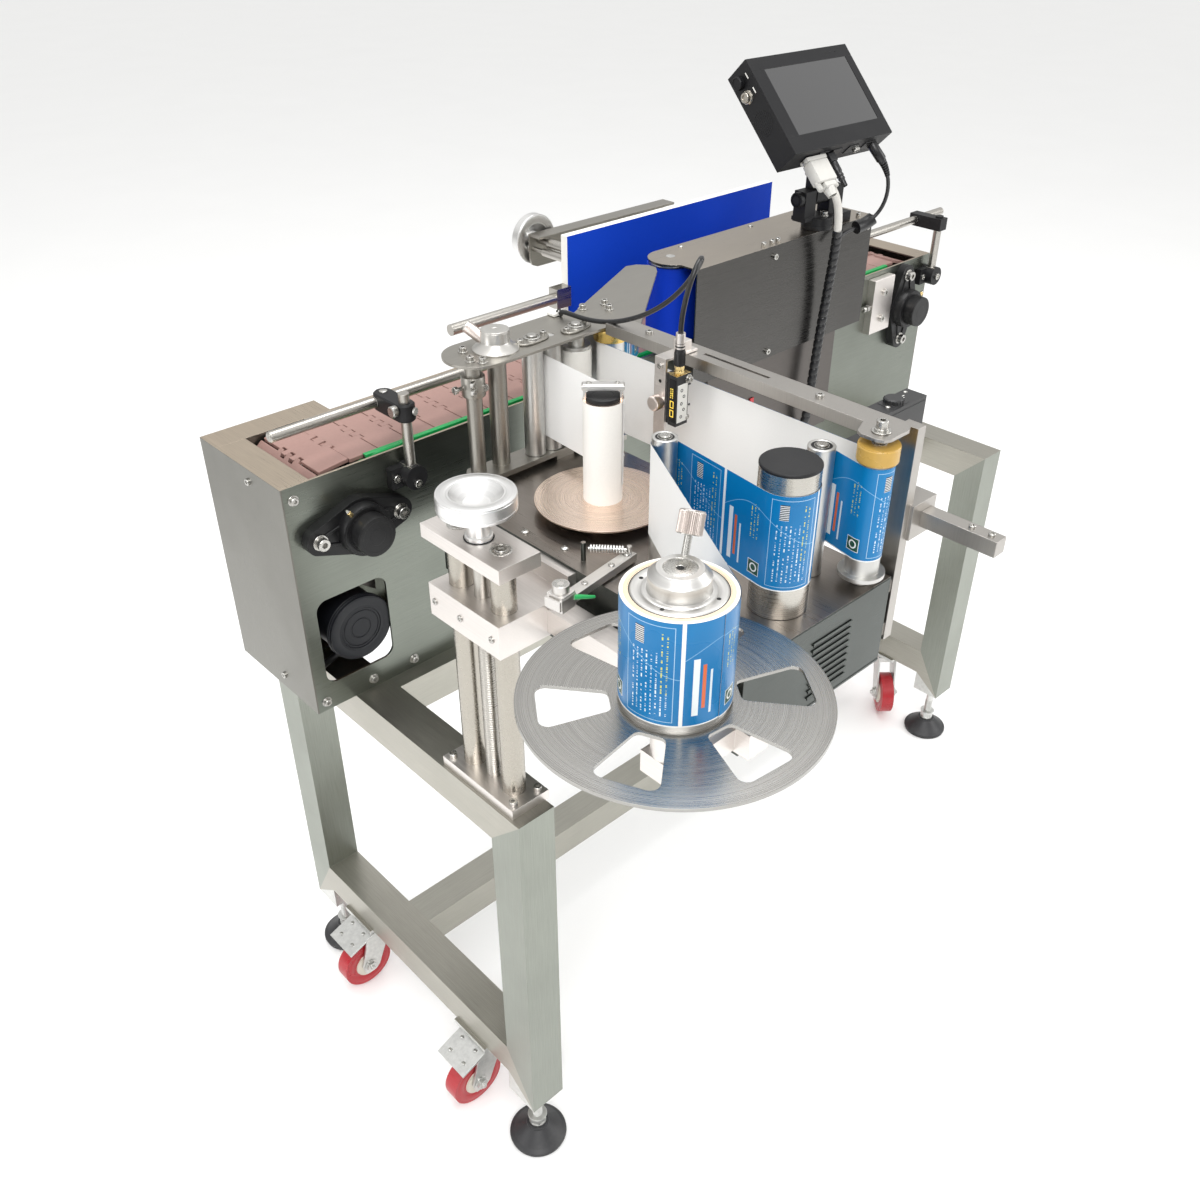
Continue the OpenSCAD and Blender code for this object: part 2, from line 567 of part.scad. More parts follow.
module label_sensor() color("dimgray") {
  bx(231, 248, 17.5, 28, zl + 90.5, zl + 143.5);
  bx(233, 248, 28, 33, zl + 90.5, zl + 143.5);
  bx(248, 251.5, 17.5, 26, zl + 130.5, zl + 143.5);
  bx(231, 233.5, 33, 48, zl + 68.5, zl + 157);
  bx(231, 276, 33, 48, plate_z + 15.6, zl + 157.2);
  bx(256, 268, 34, 47, zl + 157, zl + 168);
  cx(40, zl + 111.5, 220.5, 231, 7);
  cz([239.5, 22.8], zl + 143.5, zl + 152, 4.3);
  cz([239.5, 22.8], zl + 152, zl + 185, 4.7);
}
module printhead() color("black") {
  bx(328, 392, -161, -138, zl + 88, zl + 134);
  bx(277, 328, -159, -140, zl + 92, zl + 112);
  bx(312, 334, -160, -139, zl + 60, zl + 93);
  bx(312, 328, -300, -130, zl + 46, zl + 62);
}
module print_bracket() color("gainsboro") difference() {
  union() {
    bx(case_x[1] + 4, case_x[1] + 16, -218, -200, zl - 75, zl + 151);
    for (z = [zl - 70, zl - 20]) bx(case_x[1], case_x[1] + 4, -216, -202, z, z + 14);
    bx(case_x[1] + 12, 334, -222, -190, zl + 36, zl + 72);
  }
  bx(312 - 0.1, 328 + 0.1, -223, -189, zl + 46 - 0.1, zl + 62 + 0.1);
}

// ---------- controller ----------
module yawed() { translate(pk) rotate([0, 0, yaw]) translate(-pk) children(); }
module screen_at() { translate(sc) rotate([-tilt, 0, 0]) children(); }
module button(r, x) { cx(screen_d / 2 + 4.5, screen_h / 2 - 16, -screen_w / 2 - 3, -screen_w / 2 + x, r); }
module screen() color("black") yawed() {
  screen_at() difference() {
    bx(-screen_w / 2, screen_w / 2, 0, screen_d, -screen_h / 2, screen_h / 2);
    button(8 + run, 9);
  }
  difference() {
    union() {
      bx(pk[0] - 12, pk[0] + 14, hg[0] - 11, hg[0] + 11, hg[1], hg[1] + 100);
      cx(hg[0], hg[1], pk[0] - 12, pk[0] + 14, 11);
    }
    screen_at() bx(-60, 60, -60, screen_d - 1, -70, 80);
    cx(hg[0], hg[1], pk[0] - 13, pk[0] + 15, 5 + run);
  }
}
module screen_mount() color("black") yawed() {
  cz(pk, wz1 - 2, wz1 + 1, 8);
  cz(pk, wz1 + air, wz1 + 16, 20.5);
  bx(pk[0], pk[0] + 61, hg[0] - 12, hg[0] + 12, wz1 + air, wz1 + 13);
  bx(pk[0] - 34, pk[0] + 10, hg[0] - 12, hg[0] + 12, wz1 + 13, wz1 + 18);
  for (s = [[-34, -13], [15, 42]]) bx(pk[0] + s[0], pk[0] + s[1], hg[0] - 10, hg[0] + 10, wz1 + 12, hg[1] + 10);
  cx(hg[0], hg[1], pk[0] - 42, pk[0] + 42, 5);
  cx(hg[0], hg[1], pk[0] - 42, pk[0] - 34, 9);
}
module power_button() color("dimgray") yawed() screen_at() button(8, 6);

// ---------- fasteners and cables ----------
module capy(x, z, y, r, h) { difference() { cy(x, z, y - h, y, r); hexy(x, z, y - h - 1, y - h / 2, r * 0.5); } }
module capz(c, z, r, h) { difference() { cz(c, z, z + h, r); hexz(c, z + h / 2, z + h + 1, r * 0.5); } }
module machine_screws() color("silver") {
  for (s = [-50.6, 50.6]) { capy(sx + s, sz, ny - 13, 7, 9); capy(ex, sz + s, ny - 13, 7, 9); }
  for (p = [[-62, zc - 16], [-62, ft + 12], [2, ft + 12], [60, ft + 12]]) capy(p[0], p[1], ny, 4.5, 4);
  for (x = [plate_x[0] + 8, plate_x[1] - 8], y = [plate_y[0] + 8, plate_y[1] - 8]) capz([x, y], ft + base_t, 4.5, 5);
  for (y = coy) capz([cox, y], top_z + top_t, 6, 2);
  for (x = [620, 636, 648, 820]) capz([x, 236], wz1, 3.5, 5);
  for (x = [632, 830]) capy(x, zc + 100, 227, 4, 4);
  capy(632, zc - 28, 227, 4, 4);
}
// a round tube along points, rings of eight
function unit(v) = v / norm(v);
function tdir(p, i) = unit(p[min(i + 1, len(p) - 1)] - p[max(i - 1, 0)]);
function ring(p, i, r, n) = let (d = tdir(p, i), u = unit(cross(d, abs(d[2]) > 0.9 ? [1, 0, 0] : [0, 0, 1])),
  v = cross(d, u)) [for (k = [0 : n - 1]) p[i] + r * (cos(k * 360 / n) * u + sin(k * 360 / n) * v)];
function bez(p, t) = let (n = len(p)) n == 1 ? p[0] : bez([for (i = [0 : n - 2]) p[i] * (1 - t) + p[i + 1] * t], t);
module tubeline(ctrl, r, m, n = 8) {
  p = [for (i = [0 : m]) bez(ctrl, i / m)];
  pts = [for (i = [0 : m]) each ring(p, i, r, n)];
  polyhedron(points = pts, faces = concat([[for (k = [0 : n - 1]) n - 1 - k]],
    [for (i = [0 : m - 1]) for (k = [0 : n - 1]) [i * n + k, i * n + (k + 1) % n, (i + 1) * n + (k + 1) % n,
      (i + 1) * n + k]],
    [[for (k = [0 : n - 1]) m * n + k]]));
}
module machine_cables() color("black") {
  tubeline([[671.4, 212, zc + 217.75], [670.3, 184.3, zc + 189.4], [690, 160, zc + 168], [764, 216, zc + 150],
    [745, 218, zc + 82], [737, 218, zc - 20], [712, 218, zc - 90], [722, 205, zc - 166],
    [722, 216, zc - 166], [722, 230.5, zc - 166]], 6.5, 28, 10);
  tubeline([[788.6, 207.2, zc + 217.8], [787.5, 179.6, zc + 189.5], [838, 186, zc + 180], [846, 204, zc + 88],
    [798, 212, zc + 112], [764, 215, zc + 118], [741, 216, zc + 96]], 3, 20);
}
module sensor_cable() color("black")
  tubeline([[239.5, 22.8, zl + 185.1], [239.5, 22.8, zl + 288], [262, 20, zl + 300], [268, 90, zl + 205], [262, 170, zl + 175],
    [262, 224, plate_z + 7]], 2.6, 30);

frame();
levelling_feet();
fork_fl();
fork_bl();
fork_fr();
fork_br();
wheel_fl();
wheel_bl();
wheel_fr();
wheel_br();
near_plate();
rear_housing();
end_covers();
chain();
chain_guides();
drive_shaft();
idler_shaft();
drive_motor();
flange_bearings();
rail_supports();
near_rail();
wrap_housing();
wrap_belt();
wrap_roller_l();
wrap_roller_r();
board();
board_bracket();
board_screw();
column_plates();
guide_columns();
height_screw();
carriage();
labeler_case();
reel_arm();
supply_reel();
label_roll();
tension_arm();
tension_spring();
tension_cylinder();
guide_roller_a();
guide_roller_b();
print_roller();
applicator_plates();
drive_roller();
nip_roller();
liner_roller();
pinch_roller();
peel_arm();
rewind_spool();
label_web();
bridge_bar();
label_sensor();
printhead();
print_bracket();
screen();
screen_mount();
power_button();
machine_screws();
machine_cables();
sensor_cable();
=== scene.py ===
import json
import math
import bpy
from mathutils import Vector, Matrix

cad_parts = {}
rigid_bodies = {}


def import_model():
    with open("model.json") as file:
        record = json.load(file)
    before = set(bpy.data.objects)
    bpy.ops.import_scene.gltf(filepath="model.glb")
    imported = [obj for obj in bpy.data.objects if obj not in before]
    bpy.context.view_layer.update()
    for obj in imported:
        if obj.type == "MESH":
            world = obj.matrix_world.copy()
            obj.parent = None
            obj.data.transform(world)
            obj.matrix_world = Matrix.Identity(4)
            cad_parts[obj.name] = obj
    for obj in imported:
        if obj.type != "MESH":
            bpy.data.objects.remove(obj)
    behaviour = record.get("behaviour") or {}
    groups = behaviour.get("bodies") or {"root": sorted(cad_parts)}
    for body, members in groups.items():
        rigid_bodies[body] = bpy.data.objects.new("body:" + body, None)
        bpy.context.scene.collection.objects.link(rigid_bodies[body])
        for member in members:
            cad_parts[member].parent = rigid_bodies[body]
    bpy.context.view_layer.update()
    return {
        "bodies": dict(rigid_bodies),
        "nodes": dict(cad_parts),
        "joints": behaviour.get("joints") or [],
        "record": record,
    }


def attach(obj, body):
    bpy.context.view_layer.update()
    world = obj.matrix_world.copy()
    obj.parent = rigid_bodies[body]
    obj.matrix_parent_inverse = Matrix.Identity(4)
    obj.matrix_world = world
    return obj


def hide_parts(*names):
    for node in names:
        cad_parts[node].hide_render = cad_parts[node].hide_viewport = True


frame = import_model()
NODES = frame["nodes"]

# Camera, solved from the frame's edges: place in metres, heading and fall in degrees
CAM_AT, CAM_LENS, CAM_HEADING, CAM_FALL = (-0.5407, -0.6978, 1.4367), 34.5, 43.09, 33.75
cam_data = bpy.data.cameras.new("camera")
cam_data.lens = CAM_LENS
cam_data.sensor_width = 36
cam_data.clip_end = 100
cam = bpy.data.objects.new("camera", cam_data)
bpy.context.scene.collection.objects.link(cam)
cam.location = CAM_AT
az, el = math.radians(CAM_HEADING), math.radians(CAM_FALL)
look = Vector((math.sin(az) * math.cos(el), math.cos(az) * math.cos(el), -math.sin(el)))
cam.rotation_euler = look.to_track_quat("-Z", "Y").to_euler()
bpy.context.scene.camera = cam


# Node helpers
class G:
    """Short forms for building a material's nodes."""

    def __init__(self, name):
        self.m = bpy.data.materials.new(name)
        self.m.use_nodes = True
        self.t = self.m.node_tree
        self.n = self.t.nodes
        self.n.clear()
        self.out = self.n.new("ShaderNodeOutputMaterial")
        self.p = self.n.new("ShaderNodeBsdfPrincipled")
        self.t.links.new(self.p.outputs[0], self.out.inputs[0])

    def put(self, sock, v):
        if isinstance(v, bpy.types.NodeSocket):
            self.t.links.new(v, sock)
        elif isinstance(v, (tuple, list)) and len(v) == 3 and sock.type == "RGBA":
            sock.default_value = (*v, 1)
        else:
            sock.default_value = v

    def math(self, op, a, b=0.0, c=0.0, clamp=False):
        k = self.n.new("ShaderNodeMath")
        k.operation = op
        k.use_clamp = clamp
        for s, v in zip(k.inputs, (a, b, c)):
            self.put(s, v)
        return k.outputs[0]

    def mix(self, f, a, b):
        k = self.n.new("ShaderNodeMix")
        k.data_type = "RGBA"
        self.put(k.inputs[0], f)
        self.put(k.inputs[6], a)
        self.put(k.inputs[7], b)
        return k.outputs[2]

    def ramp(self, f, lo, hi, a, b):
        k = self.n.new("ShaderNodeMapRange")
        self.put(k.inputs[0], f)
        for i, v in enumerate((lo, hi, a, b)):
            self.put(k.inputs[i + 1], v)
        return k.outputs[0]

    def coords(self, which="Object", scale=(1, 1, 1), rot=(0, 0, 0)):
        t = self.n.new("ShaderNodeTexCoord")
        k = self.n.new("ShaderNodeMapping")
        self.t.links.new(t.outputs[which], k.inputs[0])
        k.inputs["Scale"].default_value = scale
        k.inputs["Rotation"].default_value = rot
        return k.outputs[0]

    def noise(self, vec, scale, detail=3, rough=0.5):
        k = self.n.new("ShaderNodeTexNoise")
        self.put(k.inputs["Vector"], vec)
        k.inputs["Scale"].default_value = scale
        k.inputs["Detail"].default_value = detail
        k.inputs["Roughness"].default_value = rough
        return k.outputs[0]

    def xyz(self, vec):
        k = self.n.new("ShaderNodeSeparateXYZ")
        self.put(k.inputs[0], vec)
        return k.outputs

    def bump(self, h, strength=0.2, dist=0.0003, edge=0.0006):
        k = self.n.new("ShaderNodeBump")
        k.inputs["Strength"].default_value = strength
        k.inputs["Distance"].default_value = dist
        self.put(k.inputs["Height"], h)
        if edge:
            e = self.n.new("ShaderNodeBevel")
            e.samples = 4
            e.inputs[0].default_value = edge
            self.t.links.new(e.outputs[0], k.inputs["Normal"])
        self.t.links.new(k.outputs[0], self.p.inputs["Normal"])

    def set(self, **kw):
        for k, v in kw.items():
            self.put(self.p.inputs[k.replace("_", " ")], v)


def metal(name, col, rough=0.3, grain="x", grain_scale=1.0, var=0.12, bump=0.12, dirt=0.15, edge=0.0008,
        rot=(0, 0, 0)):
    """Brushed metal: fine lines along the grain, wide soft stains, a little wear in the roughness."""
    g = G(name)
    s = {"x": (1, 60, 60), "y": (60, 1, 60), "z": (60, 60, 1), "n": (18, 18, 18)}[grain]
    fine = g.noise(g.coords(scale=tuple(v * grain_scale for v in s), rot=rot), 22, 4, 0.7)
    wide = g.noise(g.coords(), 7, 4, 0.55)
    c = g.mix(g.ramp(fine, 0.3, 0.7, 0, 1), tuple(v * (1 - var) for v in col),
        tuple(min(1, v * (1 + var)) for v in col))
    c = g.mix(g.ramp(wide, 0.45, 0.75, 0, dirt), c, tuple(v * 0.6 for v in col))
    g.set(Base_Color=c, Metallic=1.0)
    r = g.math("ADD", g.ramp(fine, 0.25, 0.75, rough - 0.07, rough + 0.08), g.ramp(wide, 0.4, 0.7, 0, 0.08))
    g.set(Roughness=r)
    g.bump(fine, bump, 0.0002, edge)
    return g.m


def turned(name, col, rough=0.2, centre=(0, 0), var=0.1, bump=0.08, edge=0.0006, rings=900):
    """Metal turned about a vertical axis: concentric lines on the flats, lines round the sides."""
    g = G(name)
    v = g.xyz(g.coords())
    dx = g.math("SUBTRACT", v[0], centre[0])
    dy = g.math("SUBTRACT", v[1], centre[1])
    rad = g.math("SQRT", g.math("ADD", g.math("MULTIPLY", dx, dx), g.math("MULTIPLY", dy, dy)))
    k = g.n.new("ShaderNodeCombineXYZ")
    g.put(k.inputs[0], g.math("MULTIPLY", rad, rings))
    g.put(k.inputs[1], g.math("MULTIPLY", v[2], rings))
    fine = g.noise(k.outputs[0], 1.0, 3, 0.6)
    wide = g.noise(g.coords(), 14, 3, 0.5)
    c = g.mix(g.ramp(fine, 0.3, 0.7, 0, 1), tuple(x * (1 - var) for x in col),
        tuple(min(1, x * (1 + var)) for x in col))
    c = g.mix(g.ramp(wide, 0.5, 0.8, 0, 0.2), c, tuple(x * 0.6 for x in col))
    g.set(Base_Color=c, Metallic=1.0, Roughness=g.ramp(fine, 0.25, 0.75, rough - 0.06, rough + 0.08))
    g.bump(fine, bump, 0.0001, edge)
    return g.m


def plastic(name, col, rough=0.45, var=0.12, scale=400, bump=0.12, dust=0.1, edge=0.0008, spec=0.5,
        dustcol=(0.45, 0.44, 0.42), **kw):
    g = G(name)
    fine = g.noise(g.coords(), scale, 3, 0.6)
    wide = g.noise(g.coords(), 16, 4, 0.6)
    c = g.mix(fine, tuple(v * (1 - var) for v in col), tuple(min(1, v * (1 + var)) for v in col))
    c = g.mix(g.ramp(wide, 0.5, 0.8, 0, dust), c, dustcol)
    g.set(Base_Color=c, Roughness=g.ramp(wide, 0.3, 0.7, rough - 0.06, rough + 0.1),
        Specular_IOR_Level=spec, **kw)
    g.bump(fine, bump, 0.0002, edge)
    return g.m


MT = {
    "tube_x": metal("steel_tube_x", (0.4, 0.39, 0.345), 0.34, "x"),
    "tube_y": metal("steel_tube_y", (0.4, 0.385, 0.34), 0.34, "y"),
    "tube_z": metal("steel_tube_z", (0.29, 0.305, 0.27), 0.34, "z"),
    "sheet": metal("steel_sheet", (0.2, 0.215, 0.188), 0.3, "x", 1.0, 0.10, 0.08, 0.2),
    "sheet_z": metal("steel_sheet_z", (0.2, 0.195, 0.175), 0.3, "z"),
    # lit copy of the sheet steel: a lighter, warmer colour painted on upward faces as painted light from
    # above
    "lips": metal("steel_lips", (0.5, 0.42, 0.33), 0.3, "y"),
    # the wrap housing's steel: a dark copy for its sides and a lighter, lit copy for its upward faces,
    # painted light from above
    "house": metal("steel_house", (0.085, 0.082, 0.078), 0.26, "x", 1.0, 0.10, 0.10),
    "house_lit_top": metal("steel_house_lit_top", (0.42, 0.375, 0.32), 0.3, "x", 1.0, 0.10, 0.08),
    "casing": metal("steel_casing", (0.115, 0.105, 0.098), 0.32, "x"),
    # the head case's steel: a dark copy for its sides and a lighter, lit copy for its upward faces, painted
    # light from above
    "case": metal("steel_case", (0.08, 0.088, 0.082), 0.28, "x", 1.0, 0.12, 0.1, 0.25),
    "case_lit_top": metal("steel_case_lit_top", (0.3, 0.27, 0.245), 0.3, "y", 1.0, 0.1, 0.08, 0.3),
    "plate": metal("steel_plate", (0.34, 0.325, 0.295), 0.34, "x", 1.0, 0.1, 0.1),
    "alu": metal("aluminium_block", (0.72, 0.68, 0.65), 0.34, "y", 0.8, 0.07, 0.1, 0.12),
    "alu_x": metal("aluminium_bar", (0.62, 0.6, 0.575), 0.32, "x", 0.8, 0.07, 0.1, 0.12),
    "alu_z": metal("aluminium_bar_z", (0.42, 0.4, 0.375), 0.32, "z", 0.8, 0.07, 0.1, 0.12),
    "chrome": metal("chrome_bar", (0.4, 0.375, 0.33), 0.24, "n", 0.5, 0.04, 0.03, 0.1),
    "rod": metal("rod", (0.46, 0.44, 0.405), 0.28, "x", 0.6, 0.08, 0.06, 0.2),
    "roller": metal("roller", (0.6, 0.595, 0.575), 0.34, "n", 0.4, 0.05, 0.04, 0.12),
    "screw": metal("screw", (0.5, 0.49, 0.465), 0.25, "n", 2, 0.12, 0.15, 0.25, 0.0003),
    "thumb": metal("knurled_steel", (0.62, 0.55, 0.51), 0.3, "n", 2, 0.10, 0.15, 0.2, 0.0002),
    "zinc": metal("zinc", (0.62, 0.62, 0.60), 0.34, "n", 0.4, 0.12, 0.12, 0.3),
    "black": plastic("black_nylon", (0.011, 0.011, 0.012), 0.42, 0.2, 500, 0.15, 0.02, 0.0008, 0.25),
    "iron": plastic("black_iron", (0.008, 0.008, 0.0085), 0.34, 0.25, 300, 0.3, 0.02, 0.0008, 0.3),
    "motor": plastic("motor_black", (0.009, 0.01, 0.013), 0.38, 0.2, 500, 0.12, 0.03, 0.0008, 0.3),
    "rubber": plastic("rubber_pad", (0.020, 0.020, 0.022), 0.45, 0.2, 350, 0.3, 0.1),
    "red": plastic("red_tread", (0.40, 0.014, 0.022), 0.30, 0.15, 200, 0.15, 0.06),
    "cream": plastic("cream_hub", (0.60, 0.56, 0.48), 0.4, 0.08, 200, 0.1, 0.2),
    "chain": plastic("chain_link", (0.29, 0.172, 0.148), 0.42, 0.08, 260, 0.2, 0.2, 0.0010, 0.4,
        (0.40, 0.29, 0.25)),
    "green": plastic("green_guide", (0.006, 0.29, 0.07), 0.36, 0.12, 200, 0.15, 0.04),
    "blue": plastic("blue_foam", (0.003, 0.05, 0.50), 0.6, 0.14, 900, 0.5, 0.0, 0.0008, 0.14),
    "belt": plastic("blue_belt", (0.002, 0.035, 0.44), 0.6, 0.2, 900, 0.5, 0.0, 0.0008, 0.14),
    "white": plastic("white_plastic", (0.76, 0.75, 0.71), 0.4, 0.05, 200, 0.1, 0.05),
    "plug": plastic("plug_grey", (0.50, 0.49, 0.46), 0.4, 0.06, 200, 0.1, 0.05),
    "core": plastic("white_core", (0.84, 0.82, 0.78), 0.55, 0.04, 500, 0.2, 0.0),
    "card": plastic("card_core", (0.62, 0.50, 0.36), 0.7, 0.12, 600, 0.3, 0.08),
    "amber": plastic("amber_ring", (0.60, 0.37, 0.08), 0.25, 0.1, 120, 0.08, 0.03, Transmission_Weight=0.15),
    "liner": plastic("liner_paper", (0.84, 0.84, 0.83), 0.42, 0.03, 700, 0.12, 0.0, 0, 0.4),
    "cable": plastic("cable_sheath", (0.007, 0.007, 0.008), 0.3, 0.2, 700, 0.2, 0.02),
    "pale_cable": plastic("pale_sheath", (0.60, 0.58, 0.54), 0.42, 0.06, 400, 0.1, 0.06),
    "screen": plastic("screen_case", (0.006, 0.006, 0.007), 0.42, 0.25, 900, 0.25, 0.01, 0.0008, 0.28),
    "glass": plastic("screen_glass", (0.010, 0.010, 0.011), 0.05, 0.05, 20, 0.01, 0.0, 0, 0.9,
        Coat_Weight=1.0, Coat_Roughness=0.02),
    "digit": plastic("digit_yellow", (0.70, 0.52, 0.06), 0.4, 0.05, 300, 0.05, 0.0, 0,
        Emission_Color=(1.0, 0.72, 0.10, 1), Emission_Strength=0.5),
    "sensor": plastic("sensor_case", (0.014, 0.014, 0.015), 0.35, 0.2, 700, 0.15, 0.03),
    "head": plastic("printhead_case", (0.012, 0.012, 0.013), 0.32, 0.2, 600, 0.15, 0.02),
    "gold": turned("gold_ring", (0.70, 0.50, 0.16), 0.24, (0.2881, 0.171)),
    "brass": metal("brass", (0.68, 0.52, 0.24), 0.25, "n"),
    "dial": turned("dial_metal", (0.78, 0.775, 0.765), 0.32, (0.004, 0.0485), 0.05, 0.03),
    "reel": turned("reel_disc", (0.36, 0.352, 0.335), 0.26, (-0.0185, -0.2245), 0.03, 0.012),
    "hub": turned("reel_hub", (0.62, 0.61, 0.59), 0.36, (-0.0185, -0.2245), 0.05, 0.03),
    "spool": turned("spool_disc", (0.84, 0.69, 0.59), 0.26, (0.176, 0.064), 0.14, 0.1, rings=700),
    "cyl": turned("cylinder_metal", (0.5, 0.48, 0.44), 0.26, (0.1704, -0.1731), 0.04, 0.02),
    "cone": turned("cone_metal", (0.6, 0.585, 0.555), 0.32, (0.152, 0.200), 0.05, 0.03),
}


def paint(node, default, *rules):
    """Gives a CAD node its materials: rules are (test(centre in mm, normal), material)."""
    o = NODES[node]
    me = o.data
    me.materials.clear()
    mats = [MT[default]] + [MT[m] for _, m in rules]
    for m in mats:
        me.materials.append(m)
    for p in me.polygons:
        p.material_index = 0
        c = p.center * 1000
        for i, (test, _) in enumerate(rules):
            if test(c, p.normal):
                p.material_index = i + 1
                break


def rad(c, x, y):
    return math.hypot(c.x - x, c.y - y)


# Heights in mm: frame top, side plates' top, head case's top, underside of the head's upper plates
FT, ZC, ZL = 591, 882, 852
PZ = ZL + 139
# Axes of reel and spool, edges of the label web, and the full roll's radius, in mm
REEL, SPOOL = (-18.5, -224.5), (176, 64)
WEB_LOW, WEB_HIGH, ROLL_R = 883, 977, 44.6


# Mesh helper (millimetres)
class Acc:
    """Collects simple solids in millimetres and makes one object of them."""

    def __init__(self):
        self.v, self.f, self.mi, self.uv, self.mats = [], [], [], [], []
        self.M = Matrix.Identity(4)
        self.cur = 0

    def use(self, mat):
        m = MT[mat] if isinstance(mat, str) else mat
        if m not in self.mats:
            self.mats.append(m)
        self.cur = self.mats.index(m)
        return self

    def at(self, M=None):
        self.M = M or Matrix.Identity(4)
        return self

    def add(self, vs, fs, uvs=None):
        b = len(self.v)
        self.v += [self.M @ Vector(p) for p in vs]
        for i, f in enumerate(fs):
            self.f.append([b + k for k in f])
            self.mi.append(self.cur)
            self.uv.append(uvs[i] if uvs else [(0, 0)] * len(f))

    def prism(self, pts, z0, z1, bev=0.6):
        """A polygon (counter-clockwise) pulled up from z0 to z1 with a small chamfer on both ends."""
        n = len(pts)
        c = Vector((sum(p[0] for p in pts) / n, sum(p[1] for p in pts) / n))
        inn = []
        for i in range(n):
            a, p, q = Vector(pts[i - 1]), Vector(pts[i]), Vector(pts[(i + 1) % n])
            u, w = (a - p), (q - p)
            u = u.normalized() if u.length > 1e-6 else u
            w = w.normalized() if w.length > 1e-6 else w
            d = u + w
            if d.length < 1e-3:
                d = Vector((-w.y, w.x))
            else:
                d.normalize()
                if (p - a).cross(q - p) < 0:
                    d = -d
            s = max(0.3, abs(d.cross(w)))
            inn.append(p + d * bev / s)
        vs = ([(*p, z0) for p in inn] + [(*p, z0 + bev) for p in pts]
            + [(*p, z1 - bev) for p in pts] + [(*p, z1) for p in inn])
        fs = [list(range(n))[::-1], [3 * n + i for i in range(n)]]
        for k in range(3):
            for i in range(n):
                j = (i + 1) % n
                fs.append([k * n + i, k * n + j, (k + 1) * n + j, (k + 1) * n + i])
        self.add(vs, fs)

    def box(self, x0, x1, y0, y1, z0, z1, bev=0.6):
        b = min(bev, (x1 - x0) / 3, (y1 - y0) / 3, (z1 - z0) / 3)
        self.prism([(x0, y0), (x1, y0), (x1, y1), (x0, y1)], z0, z1, b)

    def lathe(self, prof, n=48, closed=True):
        """Profile of (radius, z) turned about the local Z axis."""
        m = len(prof)
        vs, fs = [], []
        for r, z in prof:
            for i in range(n):
                a = 2 * math.pi * i / n
                vs.append((r * math.cos(a), r * math.sin(a), z))
        for k in range(m - 1):
            for i in range(n):
                j = (i + 1) % n
                fs.append([k * n + i, k * n + j, (k + 1) * n + j, (k + 1) * n + i])
        if closed:
            fs.append(list(range(n))[::-1])
            fs.append([(m - 1) * n + i for i in range(n)])
        self.add(vs, fs)

    def cyl(self, r, z0, z1, n=32, bev=0.5):
        b = min(bev, r / 3, (z1 - z0) / 3)
        self.lathe([(r - b, z0), (r, z0 + b), (r, z1 - b), (r - b, z1)], n)

    def knurl(self, r, z0, z1, teeth=36, d=0.5):
        """A knurled drum."""
        n = teeth * 2
        vs, fs = [], []
        for z, s in ((z0, r - 0.8), (z0 + 0.8, r), (z1 - 0.8, r), (z1, r - 0.8)):
            for i in range(n):
                a = 2 * math.pi * i / n
                q = s - (d if i % 2 else 0)
                vs.append((q * math.cos(a), q * math.sin(a), z))
        for k in range(3):
            for i in range(n):
                j = (i + 1) % n
                fs.append([k * n + i, k * n + j, (k + 1) * n + j, (k + 1) * n + i])
        fs.append(list(range(n))[::-1])
        fs.append([3 * n + i for i in range(n)])
        self.add(vs, fs)

    def cap(self, r=4, h=4):
        """A socket cap screw standing on the local z = 0 plane, with a hexagon socket."""
        n = 24
        prof = [(r, 0), (r, h - 0.5), (r - 0.5, h), (r * 0.58, h)]
        self.lathe(prof, n, False)
        vs, fs = [], []
        for i in range(n):
            a = 2 * math.pi * i / n
            vs.append((r * 0.58 * math.cos(a), r * 0.58 * math.sin(a), h))
        hr = r * 0.52
        for z in (h, h * 0.45):
            for i in range(n):
                a = 2 * math.pi * i / n
                q = hr * math.cos(math.pi / 6) / math.cos((a % (math.pi / 3)) - math.pi / 6)
                vs.append((min(q, r * 0.575) * math.cos(a), min(q, r * 0.575) * math.sin(a), z))
        for k in range(2):
            for i in range(n):
                j = (i + 1) % n
                fs.append([k * n + i, k * n + j, (k + 1) * n + j, (k + 1) * n + i])
        fs.append([2 * n + i for i in range(n)])
        self.add(vs, fs)

    def bolt(self, r=6, h=4.5, washer=True):
        """A hexagon bolt head on a washer."""
        if washer:
            self.cyl(r * 1.25, 0, 1.2, 32, 0.3)
        z0 = 1.2 if washer else 0
        self.prism([(r * math.cos(math.pi * i / 3), r * math.sin(math.pi * i / 3)) for i in range(6)],
            z0, z0 + h, 0.5)

    def tube(self, pts, r, n=12, cap=True):
        pts = [Vector(p) for p in pts]
        vs, fs, u = [], [], None
        for i, p in enumerate(pts):
            d = (pts[min(i + 1, len(pts) - 1)] - pts[max(i - 1, 0)]).normalized()
            if u is None:
                u = d.orthogonal().normalized()
            u = (u - d * u.dot(d)).normalized()
            w = d.cross(u)
            rr = r(i / (len(pts) - 1)) if callable(r) else r
            for k in range(n):
                a = 2 * math.pi * k / n
                vs.append(p + rr * (math.cos(a) * u + math.sin(a) * w))
        for i in range(len(pts) - 1):
            for k in range(n):
                j = (k + 1) % n
                fs.append([i * n + k, i * n + j, (i + 1) * n + j, (i + 1) * n + k])
        if cap:
            fs.append(list(range(n))[::-1])
            fs.append([(len(pts) - 1) * n + k for k in range(n)])
        self.add(vs, fs)

